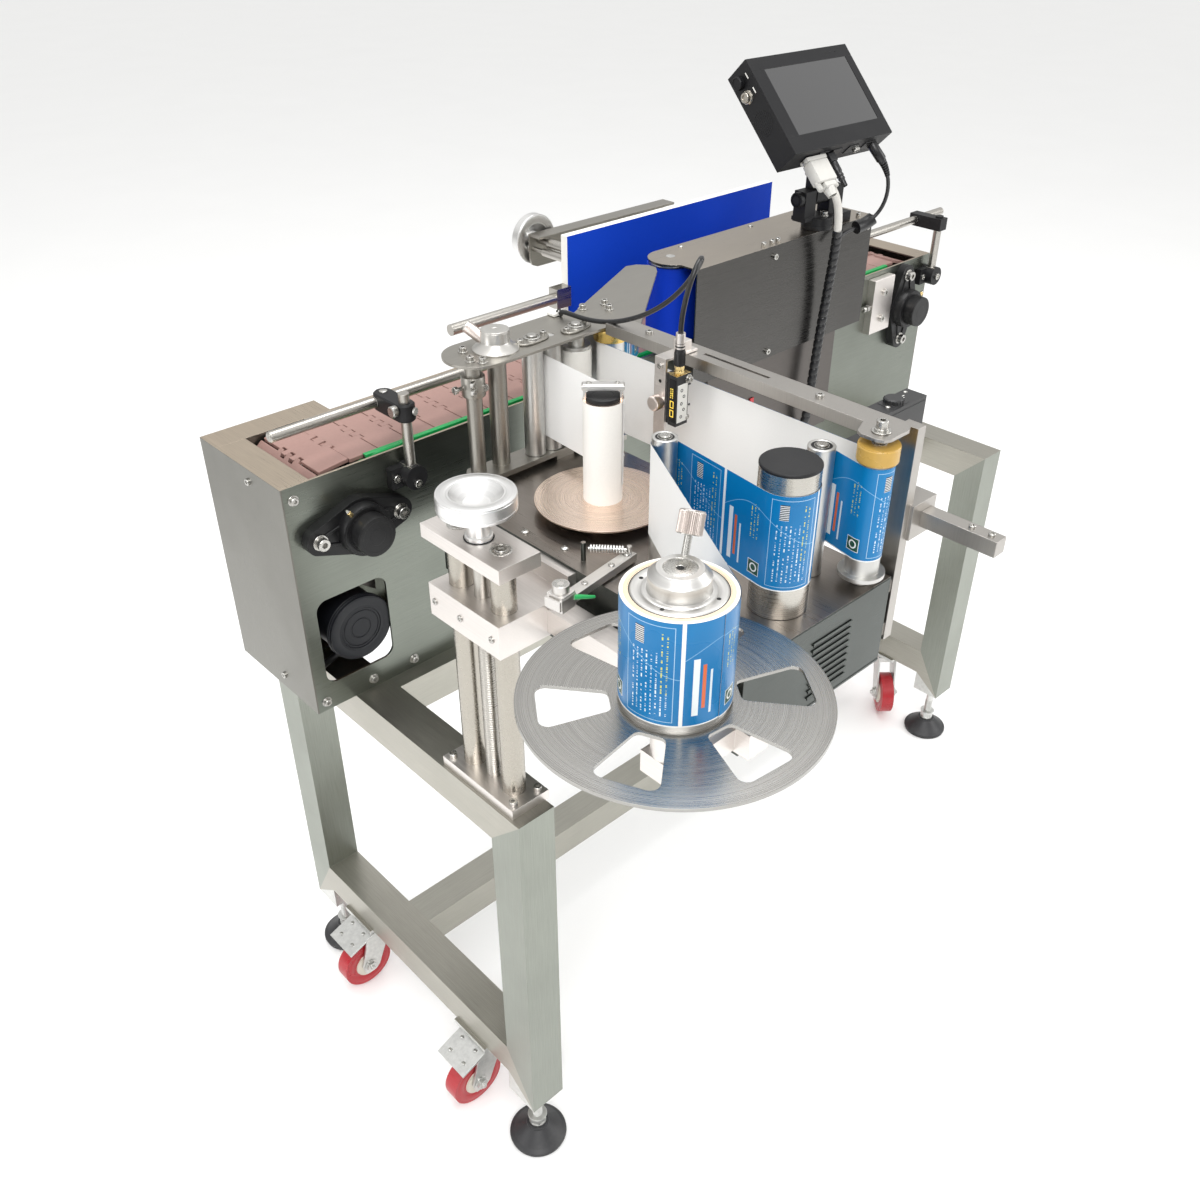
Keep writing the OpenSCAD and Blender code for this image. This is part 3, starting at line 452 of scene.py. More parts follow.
    def make(self, name, body, slot, smooth=35, *repl):
        me = bpy.data.meshes.new(name)
        me.from_pydata([v / 1000 for v in self.v], [], self.f)
        for m in self.mats:
            me.materials.append(m)
        me.polygons.foreach_set("material_index", self.mi)
        uv = me.uv_layers.new(name="UVMap")
        flat = [c for f in self.uv for q in f for c in q]
        uv.data.foreach_set("uv", flat)
        me.update()
        o = bpy.data.objects.new(name, me)
        bpy.context.scene.collection.objects.link(o)
        bpy.context.view_layer.objects.active = o
        for q in bpy.context.selected_objects:
            q.select_set(False)
        o.select_set(True)
        bpy.ops.object.shade_smooth_by_angle(angle=math.radians(smooth))
        o.select_set(False)
        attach(o, body)
        if repl:
            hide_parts(*repl)
        return o


def T(x, y, z):
    return Matrix.Translation((x, y, z))


def R(deg, axis):
    return Matrix.Rotation(math.radians(deg), 4, axis)


FRONT = R(90, "X")      # local +Z points to -Y
BACK = R(-90, "X")
LEFT = R(-90, "Y")      # local +Z points to -X
RIGHT = R(90, "Y")


def bez(ctrl, m):
    out = []
    for i in range(m + 1):
        p, t = [Vector(c) for c in ctrl], i / m
        while len(p) > 1:
            p = [p[k] * (1 - t) + p[k + 1] * t for k in range(len(p) - 1)]
        out.append(p[0])
    return out


# Cords
def cord(name, ctrl, r, m, body, node, pale=0):
    pts = bez(ctrl, m)
    a = Acc().use("cable")
    a.tube(pts, r, 16)
    L = [0]
    for i in range(m):
        L.append(L[-1] + (pts[i + 1] - pts[i]).length)
    if pale:
        a.use("pale_cable")
        for i in range(m):
            if L[i] < pale:
                a.mi[i * 16:i * 16 + 16] = [a.cur] * 16
    o = a.make(name, body, "cable_rubber", 60)
    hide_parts(node)
    return o


def along(ctrl, a, b):
    """Points of a cord between two path lengths."""
    pts = bez(ctrl, 400)
    L, out = 0, []
    for i in range(1, len(pts)):
        L += (pts[i] - pts[i - 1]).length
        if a <= L <= b:
            out.append(pts[i])
    return out


BUN = [(671.4, 212, ZC + 217.75), (670.3, 184.3, ZC + 189.4), (690, 160, ZC + 168), (764, 216, ZC + 150),
       (745, 218, ZC + 82), (737, 218, ZC - 20), (712, 218, ZC - 90), (722, 205, ZC - 166),
       (722, 216, ZC - 166), (722, 230.5, ZC - 166)]
AUX = [(788.6, 207.2, ZC + 217.8), (787.5, 179.6, ZC + 189.5), (838, 186, ZC + 180), (846, 204, ZC + 88),
       (798, 212, ZC + 112), (764, 215, ZC + 118), (741, 216, ZC + 96)]
SEN = [(239.5, 22.8, 1037.1), (239.5, 22.8, 1065.1), (180.9, -38.6, 1177.2), (425.1, 81.7, 1182.1),
       (205.6, 7.2, 857.9), (297.2, 194.2, 1156.2), (265.1, 51.2, 936.4), (262.0, 220.0, 1018.0),
       (262.0, 224.0, 998.0)]

# plug of the flat lead, square to the controller's lower face
p0 = Vector(BUN[0])
dn = (Vector(BUN[1]) - p0).normalized()
ux = Vector((math.cos(math.radians(-2.3)), math.sin(math.radians(-2.3)), 0))
uy = dn.cross(ux)
PM = Matrix(((ux.x, uy.x, dn.x, p0.x), (ux.y, uy.y, dn.y, p0.y), (ux.z, uy.z, dn.z, p0.z), (0, 0, 0, 1)))
a = Acc().use("plug").at(PM)
a.box(-18, 18, -6.6, 6.6, 0.4, 6, 0.8)
a.prism([(-15.5, -7.4), (15.5, -7.4), (17, -4), (17, 4), (15.5, 7.4), (-15.5, 7.4), (-17, 4), (-17, -4)],
    6, 36, 1.4)
a.prism([(-10, -7.2), (10, -7.2), (10, 7.2), (-10, 7.2)], 36, 44, 1.6)
a.lathe([(7.4, 43), (7.2, 47), (6, 52), (5.8, 54)], 24, False)
for s in (-1, 1):
    a.use("screw").at(PM @ T(12.5 * s, -7, 15) @ R(90, "X")).cap(3.2, 2.2)
    a.use("plug").at(PM @ T(14.6 * s, 0, 2)).knurl(3.8, 30, 42, 20, 0.4)
    a.use("screw").at(PM @ T(16 * s, -1, 1)).cyl(3, 0, 6, 6, 0.3)
flat_plug = a.at().make("flat_plug", "screen", "cable_rubber", 35)

# spiral wrap: raised turns round the leads
pts = along(BUN, 118, 2000)
a = Acc().use("cable")
vs, fs, u, l, n, m = [], [], None, 0, 20, 0
for i, p in enumerate(pts):
    d = (pts[min(i + 1, len(pts) - 1)] - pts[max(i - 1, 0)]).normalized()
    u = d.orthogonal().normalized() if u is None else (u - d * u.dot(d)).normalized()
    w = d.cross(u)
    l += (p - pts[i - 1]).length if i else 0
    for c in range(n):
        t = (l / 10.5 - c / n) % 1
        r = 6.5 if 0.05 < t < 0.74 else (6.2 if t < 0.8 else 5.3)
        b = 2 * math.pi * c / n
        vs.append(p + r * (math.cos(b) * u + math.sin(b) * w))
for i in range(len(pts) - 1):
    for c in range(n):
        j = (c + 1) % n
        fs.append([i * n + c, i * n + j, (i + 1) * n + j, (i + 1) * n + c])
a.add(vs, fs)
wrap = a.make("spiral_wrap", "base", "cable_rubber", 50)
cord("bundle", BUN, 5.2, 40, "base", "machine_cables", 122)

a = Acc().use("cable")
a.tube(along(AUX, 0.2, 26), lambda t: 6.6 if t < 0.9 else 5.4, 20)
for k in range(7):
    a.tube(along(AUX, 26 + 3.6 * k, 28.6 + 3.6 * k), 5.2 - 0.3 * k, 16)
aux_plug = a.make("round_plug", "screen", "cable_rubber", 40)
a = Acc().use("cable")
end = along(AUX, 0, 5000)
tot = sum((end[i + 1] - end[i]).length for i in range(len(end) - 1))
a.tube(along(AUX, tot - 74, tot - 72) + along(AUX, tot - 71, tot - 47) + along(AUX, tot - 46, tot - 44),
    lambda t: 5.5 if t in (0, 1) else 8.6, 24)
ferrite = a.make("ferrite", "base", "cable_rubber", 40)
cord("aux_lead", AUX, 2.6, 40, "base", "machine_cables")
cord("sensor_lead", SEN, 2.6, 40, "head", "sensor_cable")

# the third, beaded plug beside the flat one
a = Acc().use("cable").at(PM @ T(31, 0, 0))
a.box(-6, 6, -4.5, 4.5, 0.4, 12, 0.8)
a.lathe([(4.8, 12), (5.4, 13), (5.4, 26), (4.4, 28), (4.4, 29.4), (4.9, 30), (4.9, 32), (4, 32.6), (4, 34),
    (4.4, 34.6), (4.4, 36.6), (3.4, 37.4), (3, 46)], 20, False)
a.at().make("beaded_plug", "screen", "cable_rubber", 40)

# Finishes of the CAD nodes; the upward faces of the sheet parts, the wrap housing and the head case take
# lighter, lit copies of their steel as painted light
paint("frame", "tube_z",
      (lambda c, n: c.z > FT - 49.5 or 130 < c.z < 182 and not (abs(n.y) > 0.9 and abs(c.y - 228) > 200),
          "tube_y"))
me = NODES["frame"].data
me.materials.append(MT["tube_x"])
me.materials.append(MT["zinc"])
for p in me.polygons:
    c = p.center * 1000
    if 40 < c.x < 1044 and 250 < c.y < 304:
        p.material_index = 2
    elif c.z < 131.9 and c.z > 97:
        p.material_index = 3
paint("levelling_feet", "zinc", (lambda c, n: c.z < 26.5, "rubber"))
for w in ("fl", "bl", "fr", "br"):
    paint("fork_" + w, "zinc")
for w, x, y, a in (("fl", 0, 100, 0), ("bl", 0, 362, 0), ("fr", 1084, 232, 47), ("br", 1084, 396, 47)):
    wx, wy = x - 28 * math.cos(math.radians(a)), y - 28 * math.sin(math.radians(a))
    ax = Vector((-math.sin(math.radians(a)), math.cos(math.radians(a)), 0))

    def hub(c, n, wx=wx, wy=wy, ax=ax):
        d = Vector((c.x - wx, c.y - wy, c.z - 46))
        return (d - ax * d.dot(ax)).length < 22
    paint("wheel_" + w, "red", (hub, "cream"))
# the upward faces of the sheet parts take the lit copy of the sheet steel, a painted highlight; their sides
# keep the darker sheet colour
paint("near_plate", "sheet", (lambda c, n: n.z > 0.9, "lips"))
paint("rear_housing", "sheet", (lambda c, n: n.z > 0.9, "lips"))
paint("end_covers", "sheet_z", (lambda c, n: n.z > 0.9, "lips"))
paint("chain", "chain")
# the guides' steel below and behind the green takes the same lit copy of the sheet steel, a painted highlight
paint("chain_guides", "green", (lambda c, n: c.z < 867 or c.y > 396, "lips"),
    (lambda c, n: c.z < 877.5, "casing"))
paint("drive_shaft", "chrome")
paint("idler_shaft", "chrome")
paint("drive_motor", "motor")
paint("flange_bearings", "iron")
paint("rail_supports", "black",
      (lambda c, n: abs(c.y - 262) < 6.6 and c.z > 853
          and (abs(c.x - 75) < 6.6 or abs(c.x - 1075) < 6.6 and c.z < 922), "rod"),
      (lambda c, n: c.z > 925 and c.x > 200 and (c.x < 1065.5 or c.x > 1084.5), "rod"))
paint("near_rail", "rod")
# the housing's upward faces take the lit copy, a painted highlight; its sides keep the dark copy of the same
# steel
paint("wrap_housing", "house", (lambda c, n: c.z < 885.5, "casing"), (lambda c, n: n.z > 0.9, "house_lit_top"))
paint("wrap_belt", "belt")
paint("wrap_roller_l", "roller")
paint("wrap_roller_r", "roller")
paint("board", "white", (lambda c, n: n.y < -0.9 and c.z > 884 and 430 < c.x < 835 and abs(c.y - 402) < 1,
    "blue"),
      (lambda c, n: c.y > 414.5 or c.x < 405, "rod"), (lambda c, n: c.x < 430.5, "rod"))
paint("board_bracket", "plate")
paint("board_screw", "dial", (lambda c, n: c.y < 484, "rod"))
paint("column_plates", "alu")
paint("guide_columns", "chrome")
paint("height_screw", "dial", (lambda c, n: c.z < 893, "rod"))
paint("carriage", "alu")
# the case's upward faces take the lit copy, a painted highlight; its sides keep the dark copy of the same
# steel
paint("labeler_case", "case", (lambda c, n: n.z > 0.9, "case_lit_top"))
paint("reel_arm", "alu")
paint("supply_reel", "hub", (lambda c, n: 870 < c.z < 878.6, "reel"),
    (lambda c, n: rad(c, *REEL) < 27 and c.z > 996.5, "screw"))
paint("label_roll", "core", (lambda c, n: rad(c, *REEL) < 40, "card"))
paint("tension_arm", "alu_x")
paint("tension_spring", "zinc")
paint("tension_cylinder", "cyl")
for k in ("guide_roller_a", "guide_roller_b", "drive_roller", "pinch_roller"):
    paint(k, "roller")
paint("print_roller", "roller",
    (lambda c, n: ZL + 127 <= c.z < ZL + 143.5 and rad(c, 256.5, -201.5) > 5.5, "amber"))
paint("applicator_plates", "plate", (lambda c, n: c.z > PZ + 3.5, "cone"))
paint("nip_roller", "roller", (lambda c, n: c.z > ZL + 125.5 and c.z < PZ, "gold"))
paint("liner_roller", "white", (lambda c, n: rad(c, 251, 186.5) < 9.5 or c.z > ZL + 121.5, "roller"))
paint("peel_arm", "plate")
paint("rewind_spool", "spool", (lambda c, n: ZL + 14.5 < c.z < ZL + 122, "core"),
    (lambda c, n: c.z >= ZL + 122 and rad(c, *SPOOL) < 17.5 and c.z < ZL + 127.5, "black"),
      (lambda c, n: c.z > ZL + 127.5, "hub"))
paint("label_web", "liner")
paint("bridge_bar", "alu_z")
paint("label_sensor", "sensor", (lambda c, n: c.z > ZL + 143 and c.y < 30 and c.z < ZL + 152.5, "brass"),
      (lambda c, n: c.y > 33 and c.x < 231.1 and c.z < ZL + 125, "thumb"),
      (lambda c, n: c.y > 32.9 or c.z > ZL + 156, "alu"))
paint("printhead", "head", (lambda c, n: c.z < ZL + 62.5, "alu_z"))
paint("print_bracket", "alu_z")
paint("screen", "screen")
paint("screen_mount", "black")
paint("power_button", "screen")
paint("machine_screws", "screw")
paint("machine_cables", "cable")
paint("sensor_cable", "cable")

# Chain
SX, EX, SZ, CY = 5, 1010, 815, 348
SPAN, LR, NL = 1005, 62.6, 63
LOOP = 2 * SPAN + 2 * math.pi * LR


def link_pos(s):
    s %= LOOP
    if s < SPAN:
        return SX + s, SZ + LR, 0
    if s < SPAN + math.pi * LR:
        a = (s - SPAN) / LR
        return EX + LR * math.sin(a), SZ + LR * math.cos(a), math.degrees(a)
    if s < 2 * SPAN + math.pi * LR:
        return EX - (s - SPAN - math.pi * LR), SZ - LR, 180
    a = math.pi + (s - 2 * SPAN - math.pi * LR) / LR
    return SX + LR * math.sin(a), SZ + LR * math.cos(a), math.degrees(a)


h, K = 18.55, 4.5
edge = [(h, -56.2), (h, -21.4)]
for k in range(5):
    u = h + (K if k % 2 == 0 else -K)
    edge += [(u, -21 + 8.4 * k + 0.35), (u, -21 + 8.4 * (k + 1) - 0.35)]
edge += [(h, 21.4), (h, 56.2), (h - 0.8, 57)]
back = [(-h + 0.8, 57), (-h, 56.2), (-h, 21.4)]
for k in range(4, -1, -1):
    u = -h + (K if k % 2 == 0 else -K)
    back += [(u, -21 + 8.4 * (k + 1) - 0.05), (u, -21 + 8.4 * k + 0.05)]
back += [(-h, -21.4), (-h, -56.2), (-h + 0.8, -57), (h - 0.8, -57)]
plan = edge + back
a = Acc()
for i in range(NL):
    x, z, d = link_pos((i + 0.825) * LOOP / NL)
    M = T(x, CY, z) @ R(d, "Y")
    a.use("chain").at(M).prism(plan, -2.4, 2.4, 0.5)
    for y0, y1 in ((-21, -13), (-4, 4), (13, 21)):
        a.at(M @ T(h - 0.5, y0, -3.2) @ R(-90, "X")).cyl(4.2, 0, y1 - y0, 14, 0.4)
    a.at(M).box(-12, 12, -20, -16, -8, -2.2)
    a.box(-12, 12, 16, 20, -8, -2.2)
    a.use("zinc").at(M @ T(h - 0.5, -21.6, -3.2) @ R(-90, "X")).cyl(1.8, 0, 43.2, 10, 0.3)
a.make("chain_links", "base", "chain_plastic", 30, "chain")

# green lip along the near guide, flaring out and down at its entrance
a = Acc().use("green")
lip = bez([(36, 287.5, 874), (37, 287, 881), (46, 281.5, 880), (62, 280.5, 880), (84, 286.2, 880.2),
    (120, 286.2, 880.2)], 26)
a.tube(lip, 2.6, 14)
a.tube([(119, 286.2, 880.2), (500, 286.2, 880.2), (981, 286.2, 880.2)], 2.6, 14)
a.at(T(27, 283.5, 868)).prism([(0, 0), (9, -3), (14, 0), (14, 6), (0, 6)], 0, 8)
a.at().make("guide_lip", "base", "guide_plastic", 60)

# Fasteners on the fixed parts
a = Acc().use("screw")
for s in (-50.6, 50.6):
    for p in ((SX + s, 261.5, SZ), (EX, 261.5, SZ + s)):
        a.at(T(*p) @ FRONT)
        a.cyl(9, 0, 1.4, 28, 0.3)
        a.at(T(p[0], p[1] - 1.4, p[2]) @ FRONT).cap(7, 7.6)
for x, z in ((-62, ZC - 16), (-62, FT + 12), (2, FT + 12), (60, FT + 12)):
    a.at(T(x, 274.5, z) @ FRONT)
    a.cyl(6.2, 0, 0.9, 24, 0.3)
    a.at(T(x, 273.6, z) @ FRONT).cap(4.5, 3.4)
for x in (-12.5, 20.5):
    for y in (-2.5, 99.5):
        a.at(T(x, y, FT + 12)).cap(4.5, 5)
for y in (16, 81):
    a.at(T(4, y, 894)).lathe([(10.6, 0), (10.6, 0.5), (9.2, 0.9), (9.2, 0.3), (7, 0.3)], 36, False)
    a.cap(6, 2)
for x in (620, 636, 648, 820):
    a.at(T(x, 236, 996)).cap(3.5, 5)
for x, z in ((632, ZC + 100), (830, ZC + 100), (632, ZC - 28)):
    a.at(T(x, 227, z) @ FRONT).cap(4, 4)
a.make("fixed_screws", "base", "fastener_steel", 30, "machine_screws")

a = Acc().use("screw")
for x, y in ((675, 306), (783, 309), (540, 306), (830, 300)):
    a.at(T(x, y, 996)).lathe([(3.6, 0), (3.4, 1), (2.2, 1.7), (1.2, 1.9)], 20)
a.at(T(-75, 343.6, 866) @ LEFT).cap(4, 2.6)
a.at(T(-75, 343.6, 610) @ LEFT).cap(4, 2.6)
for z in (ZC - 70, FT + 40):
    a.at(T(1084, 300, z) @ RIGHT).cap(4, 2.6)
    a.at(T(1084, 395, z) @ RIGHT).cap(4, 2.6)
a.at(T(75, 251.5, 846) @ FRONT).cap(4.6, 3.6)
a.at(T(57, 264.5, 853) @ FRONT).cap(4.6, 3.6)
a.at(T(1075, 251.5, 852) @ FRONT).cap(5, 3.6)
a.at(T(1057, 264.5, 852) @ FRONT).cap(4.2, 3)
for x in (443, 652):
    a.at(T(x, 485, 974.5) @ BACK).cyl(8, 0, 1.2, 28, 0.3)
    a.at(T(x, 486.2, 974.5) @ BACK).cap(5.2, 5)
for x in (520, 660):
    for z in (770, 781):
        a.at(T(x, 414.5, z) @ BACK).cap(4, 3.4)
for x in (-60, 60):
    for z in (FT + 14, ZC - 14):
        a.at(T(x, 446, z) @ BACK).cap(4, 3)
a.use("alu").at().box(925, 975, 262, 274.4, 790, 875, 1.2)
a.use("screw")
for z in (812, 853):
    a.at(T(950, 262, z) @ FRONT).cap(5.5, 5)
a.at(T(925, 268, 833) @ LEFT).cyl(3, 0, 14, 20, 0.4)
a.at(T(921, 268, 833) @ LEFT).bolt(5.5, 4, False)
a.at(T(913, 268, 833) @ LEFT).cap(4.6, 4)
a.use("red").at(T(612, 231, 786) @ FRONT).prism([(-4, -5), (4, -5), (4, 5), (-4, 5)], 0, 2.4, 0.8)
a.at().make("fixed_fittings", "base", "fastener_steel", 30)

# grease nipples, ribs and rings on the flange bearings
a = Acc().use("iron")
for x, v in ((SX, 0), (EX, 90)):
    M = T(x, 0, SZ) @ R(v, "Y")
    for s in (-1, 1):
        for w in (-1, 1):
            a.at(M @ T(s * 31, 261.6, w * 9) @ FRONT @ R(s * w * -14, "Z"))
            a.box(-14, 14, -1.6, 1.6, -2, 1.8, 0.7)
    a.at(M @ T(0, 247.5, 0) @ FRONT).lathe([(29.2, -13), (29.6, -2.5), (28, 0.4), (24, 0.6), (22.9, -0.6),
        (22.9, -3)], 56, False)
    a.at(M @ T(0, 230, 0) @ FRONT).lathe([(22.8, -8), (22.8, -1.6), (21.4, 0.1), (17.6, 0.1), (17.2, -0.4),
        (10, -0.4), (9.6, 0.1), (0.1, 0.1)], 56, False)
    a.use("brass").at(M @ T(-16, 250, 24) @ R(-35, "Y")).cyl(2.6, 0, 6, 6, 0.3)
    a.use("screw").lathe([(1.6, 6), (2.2, 7.5), (1.2, 9.5)], 14)
    a.use("iron")
a.at().make("bearing_trim", "base", "bearing_iron", 35)

# motor face with its rings, and the stay seen in the window's corner
a = Acc().use("motor")
a.at(T(-3, 279.6, 677) @ FRONT)
a.lathe([(25.8, 0), (25.6, 1.5), (23.4, 1.5), (23.1, 0.7), (22.3, 0.7), (22, 1.4), (13, 1.4), (12.7, 0.7),
    (12, 0.7), (11.7, 1.3), (0.1, 1.3)], 64, False)
a.at(T(-3, 286.4, 677) @ FRONT)
a.lathe([(40.1, 0.2), (40.9, 0.8), (40.9, 1.8), (40.1, 2.4), (40.1, 3.6), (40.9, 4.2), (40.9, 5.2),
    (40.1, 5.8), (40.1, 7.6), (38.6, 9.2), (30, 9.2), (27.5, 8.4), (26.4, 8.2)], 72, False)
a.use("casing").at(T(0, 300, 0) @ FRONT).prism([(2, 734), (2, 730), (34, 704), (33.5, 734)], 0, 3, 0.5)
a.use("cable").at()
a.tube(bez([(-50, 320, 612), (-30, 300, 640), (8, 296, 655), (30, 300, 640), (33, 320, 636)], 20), 4, 12)
a.make("motor_face", "base", "motor_black", 35)

# threads, nuts and rims of the feet
a = Acc()
for c in ((0, 0), (0, 456), (1084, 124), (1084, 456)):
    a.use("zinc").at(T(c[0], c[1], 0))
    for k in range(9):
        a.lathe([(6.0, 44 + 2.6 * k), (6.7, 45.3 + 2.6 * k), (6.0, 46.6 + 2.6 * k)], 24, False)
    a.cyl(12.6, 42, 43.2, 32, 0.3)
    a.use("rubber").lathe([(36.6, 3), (37.5, 4.5), (37.2, 7), (34, 9.2), (20, 16.5), (16, 20)], 56, False)
    a.lathe([(15.4, 22.6), (14.4, 26.6), (11.4, 27.6), (11, 27)], 40, False)
a.at().make("foot_trim", "base", "foot_rubber", 35)

for w, x, y, d, brake in (("fl", 0, 100, 0, 1), ("bl", 0, 362, 0, 1), ("fr", 1084, 232, 47, 0),
        ("br", 1084, 396, 47, 0)):
    M = T(x, y, 0) @ R(d, "Z")
    a = Acc().use("zinc")
    for s in (-1, 1):
        N = M @ T(-28, 17 * s, 46) @ R(-90 * s, "X")
        a.at(N).cyl(10.5, 0, 1.3, 28, 0.3)
        a.at(N @ T(0, 0, 5)).lathe([(3.6, 0), (3.6, 3.2), (2.6, 4)], 18)
    a.at(M).lathe([(15, 108), (17.4, 109.5), (17.4, 112), (15.5, 113.5), (12, 114.4), (8, 115.5)], 40, False)
    a.lathe([(19.5, 121), (20, 124), (18.5, 127), (14, 130.8)], 40, False)
    if brake:
        for u, v in ((-30, -14), (-30, 14), (-50, -14), (-50, 14)):
            zz = 118 + (u + 18) * 16 / 44
            a.at(M @ T(u, v, zz - 0.2) @ R(20, "Y")).lathe([(3.2, 0), (3, 1), (1.8, 1.8)], 18)
    a.make("fork_trim_" + w, "fork_" + w, "caster_steel", 35)
    a = Acc()
    for s in (-1, 1):
        N = M @ T(-28, 0, 46) @ R(-90 * s, "X")
        a.use("cream").at(N).lathe([(9, 13), (9.6, 13.6), (13, 13.6), (13.6, 13.1), (18.6, 13.1),
            (19.9, 12.4), (20.6, 11)], 48, False)
        a.use("red").lathe([(24, 11), (25, 11.7), (32, 11.7), (35.5, 10.6)], 56, False)
    a.make("wheel_trim_" + w, "wheel_" + w, "caster_wheel", 40)

# Near rail clamp
a = Acc().use("black")
pl = []
for k in range(13):
    t = math.radians(180 + 15 * k)
    pl.append((75 + 11 * math.cos(t), 262 + 11 * math.sin(t)))
for k in range(13):
    t = math.radians(15 * k)
    pl.append((75 + 11 * math.cos(t), 301 + 11 * math.sin(t)))
a.prism(pl, 917.5, 937.5, 1.6)
a.use("rod").at(T(-63.5, 303, 927.5) @ RIGHT)
a.lathe([(0.5, 0), (4.6, 0), (6, 1.4), (6, 462.1), (4.6, 463.5), (0.5, 463.5)], 36, False)
a.use("screw").at(T(75, 301, 937.5)).lathe([(4.6, 0), (4.6, 1), (3.6, 1.6), (0.2, 1.6)], 24, False)
a.at(T(86, 288, 928) @ RIGHT).cap(4.2, 1.6)
a.at(T(64, 262, 931) @ LEFT).lathe([(6, 0), (6.4, 0.8), (6.4, 6), (5.4, 7), (0.2, 7)], 36, False)
a.at(T(80, 252, 929) @ FRONT @ R(25, "Y")).cap(4.4, 2.4)
a.at().make("rail_clamp", "near_rail", "rail_steel", 35, "near_rail")

# Dials and lift
a = Acc().use("dial").at(T(4, 48.5, 925))
a.lathe([(30, 0.1), (37.2, 0.4), (37.8, 1.8), (37.8, 3), (37.1, 3.4), (37.1, 4.2), (37.8, 4.6), (37.8, 14),
    (36.6, 15.7), (35.2, 16.3), (28.2, 16.3), (26.9, 15.9), (26, 15.2)], 96, False)
a.use("dial").at(T(4, 48.5, 894.4)).lathe([(8.2, 0), (13.4, 0), (13.4, 3.4), (12.4, 4.2), (10.8, 4.2)],
    40, False)
a.use("iron").at(T(4, 48.5, 894.3)).lathe([(9, 0.1), (14.6, 0.1), (14.6, 0.4), (9, 0.4)], 40, False)
for k in range(60):
    a.use("rod").at(T(4, 48.5, 606 + 3 * k)).lathe([(7.8, 0), (8.5, 0.7), (8.5, 1.2), (7.8, 1.9)], 24, False)
a.at().make("dial_trim", "height_screw", "wheel_metal", 35)

a = Acc().use("dial").at(T(453, 489, 984) @ BACK)
a.lathe([(22.4, -0.1), (23.4, -0.5), (30.6, -0.5), (32.3, 0.8), (32.3, 11), (30.8, 12.4), (14, 12.4),
    (13, 12), (9.3, 12)], 96, False)
a.at().make("board_dial_trim", "board_screw", "wheel_metal", 35)

# Labelling head
a = Acc().use("screw")
for x, y in ((86, 82), (94, 31), (276, -208), (276, 140), (86, -208)):
    a.at(T(x, y, ZL)).lathe([(4.4, 0), (4.2, 1.2), (2.8, 2.2), (1.6, 2.4), (1.4, 1.2), (0.1, 1.2)], 24, False)
for y in (0, 60, 110):
    a.at(T(-20.5, y * 0.8 + 6, 811) @ LEFT).cap(3.6, 1.6)
a.use("iron").at()
for k in range(9):
    z = 765 + 7.6 * k
    a.use("case").box(170, 228, -219.3, -217.4, z + 1.6, z + 4.4, 0.8)
    a.use("iron").box(171.5, 226.5, -218, -217.3, z - 0.6, z + 1.8, 0.2)
a.use("case")
for z in (755.5, 849.5):
    a.box(76, 284.6, -218.1, -217.4, z, z + 1.6, 0.3)
a.at().make("case_trim", "head", "case_steel", 35)

# label sensor
a = Acc().use("iron")
a.box(230.6, 231.1, 18.6, 27, 946, 992, 0.1)
a.use("digit")


def seven(y0, z0, w, hh, on):
    s = 0.9
    seg = {"a": (y0, y0 + w, z0 + hh - s, z0 + hh), "d": (y0, y0 + w, z0, z0 + s),
           "g": (y0, y0 + w, z0 + hh / 2 - s / 2, z0 + hh / 2 + s / 2),
           "f": (y0 + w - s, y0 + w, z0 + hh / 2, z0 + hh), "b": (y0, y0 + s, z0 + hh / 2, z0 + hh),
           "e": (y0 + w - s, y0 + w, z0, z0 + hh / 2), "c": (y0, y0 + s, z0, z0 + hh / 2)}
    for k in on:
        p = seg[k]
        a.box(230.35, 230.7, p[0], p[1], p[2], p[3], 0.08)


for z in (952, 961.5):
    seven(20.4, z, 5, 7.6, "abcdef")
for k in range(5):
    a.box(230.35, 230.7, 21.6, 22.4 + 0.5 * (k % 3), 972 + 2.2 * k, 973.4 + 2.2 * k, 0.08)
    a.box(230.35, 230.7, 24, 25.4 - 0.4 * (k % 2), 972 + 2.2 * k, 973.2 + 2.2 * k, 0.08)
a.use("white").box(232.6, 246.4, 16.9, 17.7, 946, 986, 0.4)
a.use("iron").at(T(249.4, 17.4, 962) @ FRONT).cyl(1.2, 0, 1, 14, 0.2)
for k in range(5):
    a.use("iron").at(T(238 + 3.4 * (k % 2), 16.9, 952 + 7 * k) @ FRONT).lathe([(1.7, 0), (1.7, 0.2),
        (1.1, 0.2), (1.1, 0)], 16, False)
a.use("screw").at(T(247.6, 17.5, 989.6) @ FRONT).cyl(4.6, 0, 0.9, 24, 0.2)
a.at(T(247.6, 16.6, 989.6) @ FRONT).cap(3.4, 3)
a.at(T(247.6, 17.5, 949) @ FRONT).cap(2.6, 1.4)
a.use("thumb").at(T(231, 40, 963.5) @ LEFT).knurl(7.7, 1.4, 10.6, 40, 0.5)
a.at(T(231, 40, 963.5) @ LEFT).lathe([(7, 10.4), (6, 11.2), (0.2, 11.2)], 40, False)
a.use("iron").at(T(230.9, 40, 985) @ LEFT).cyl(1.9, 0, 0.15, 18, 0.05)
a.use("screw").at(T(231, 40, 1001) @ LEFT).cap(3.2, 2.4)
a.use("brass").at(T(239.5, 22.8, 995.6)).lathe([(4.4, 0), (5.2, 0.5), (5.2, 3), (4.5, 3.4), (4.5, 5),
    (5.1, 5.4), (5.1, 8.2), (4.5, 8.6)], 6, False)
a.use("cable").at(T(239.5, 22.8, 1004))
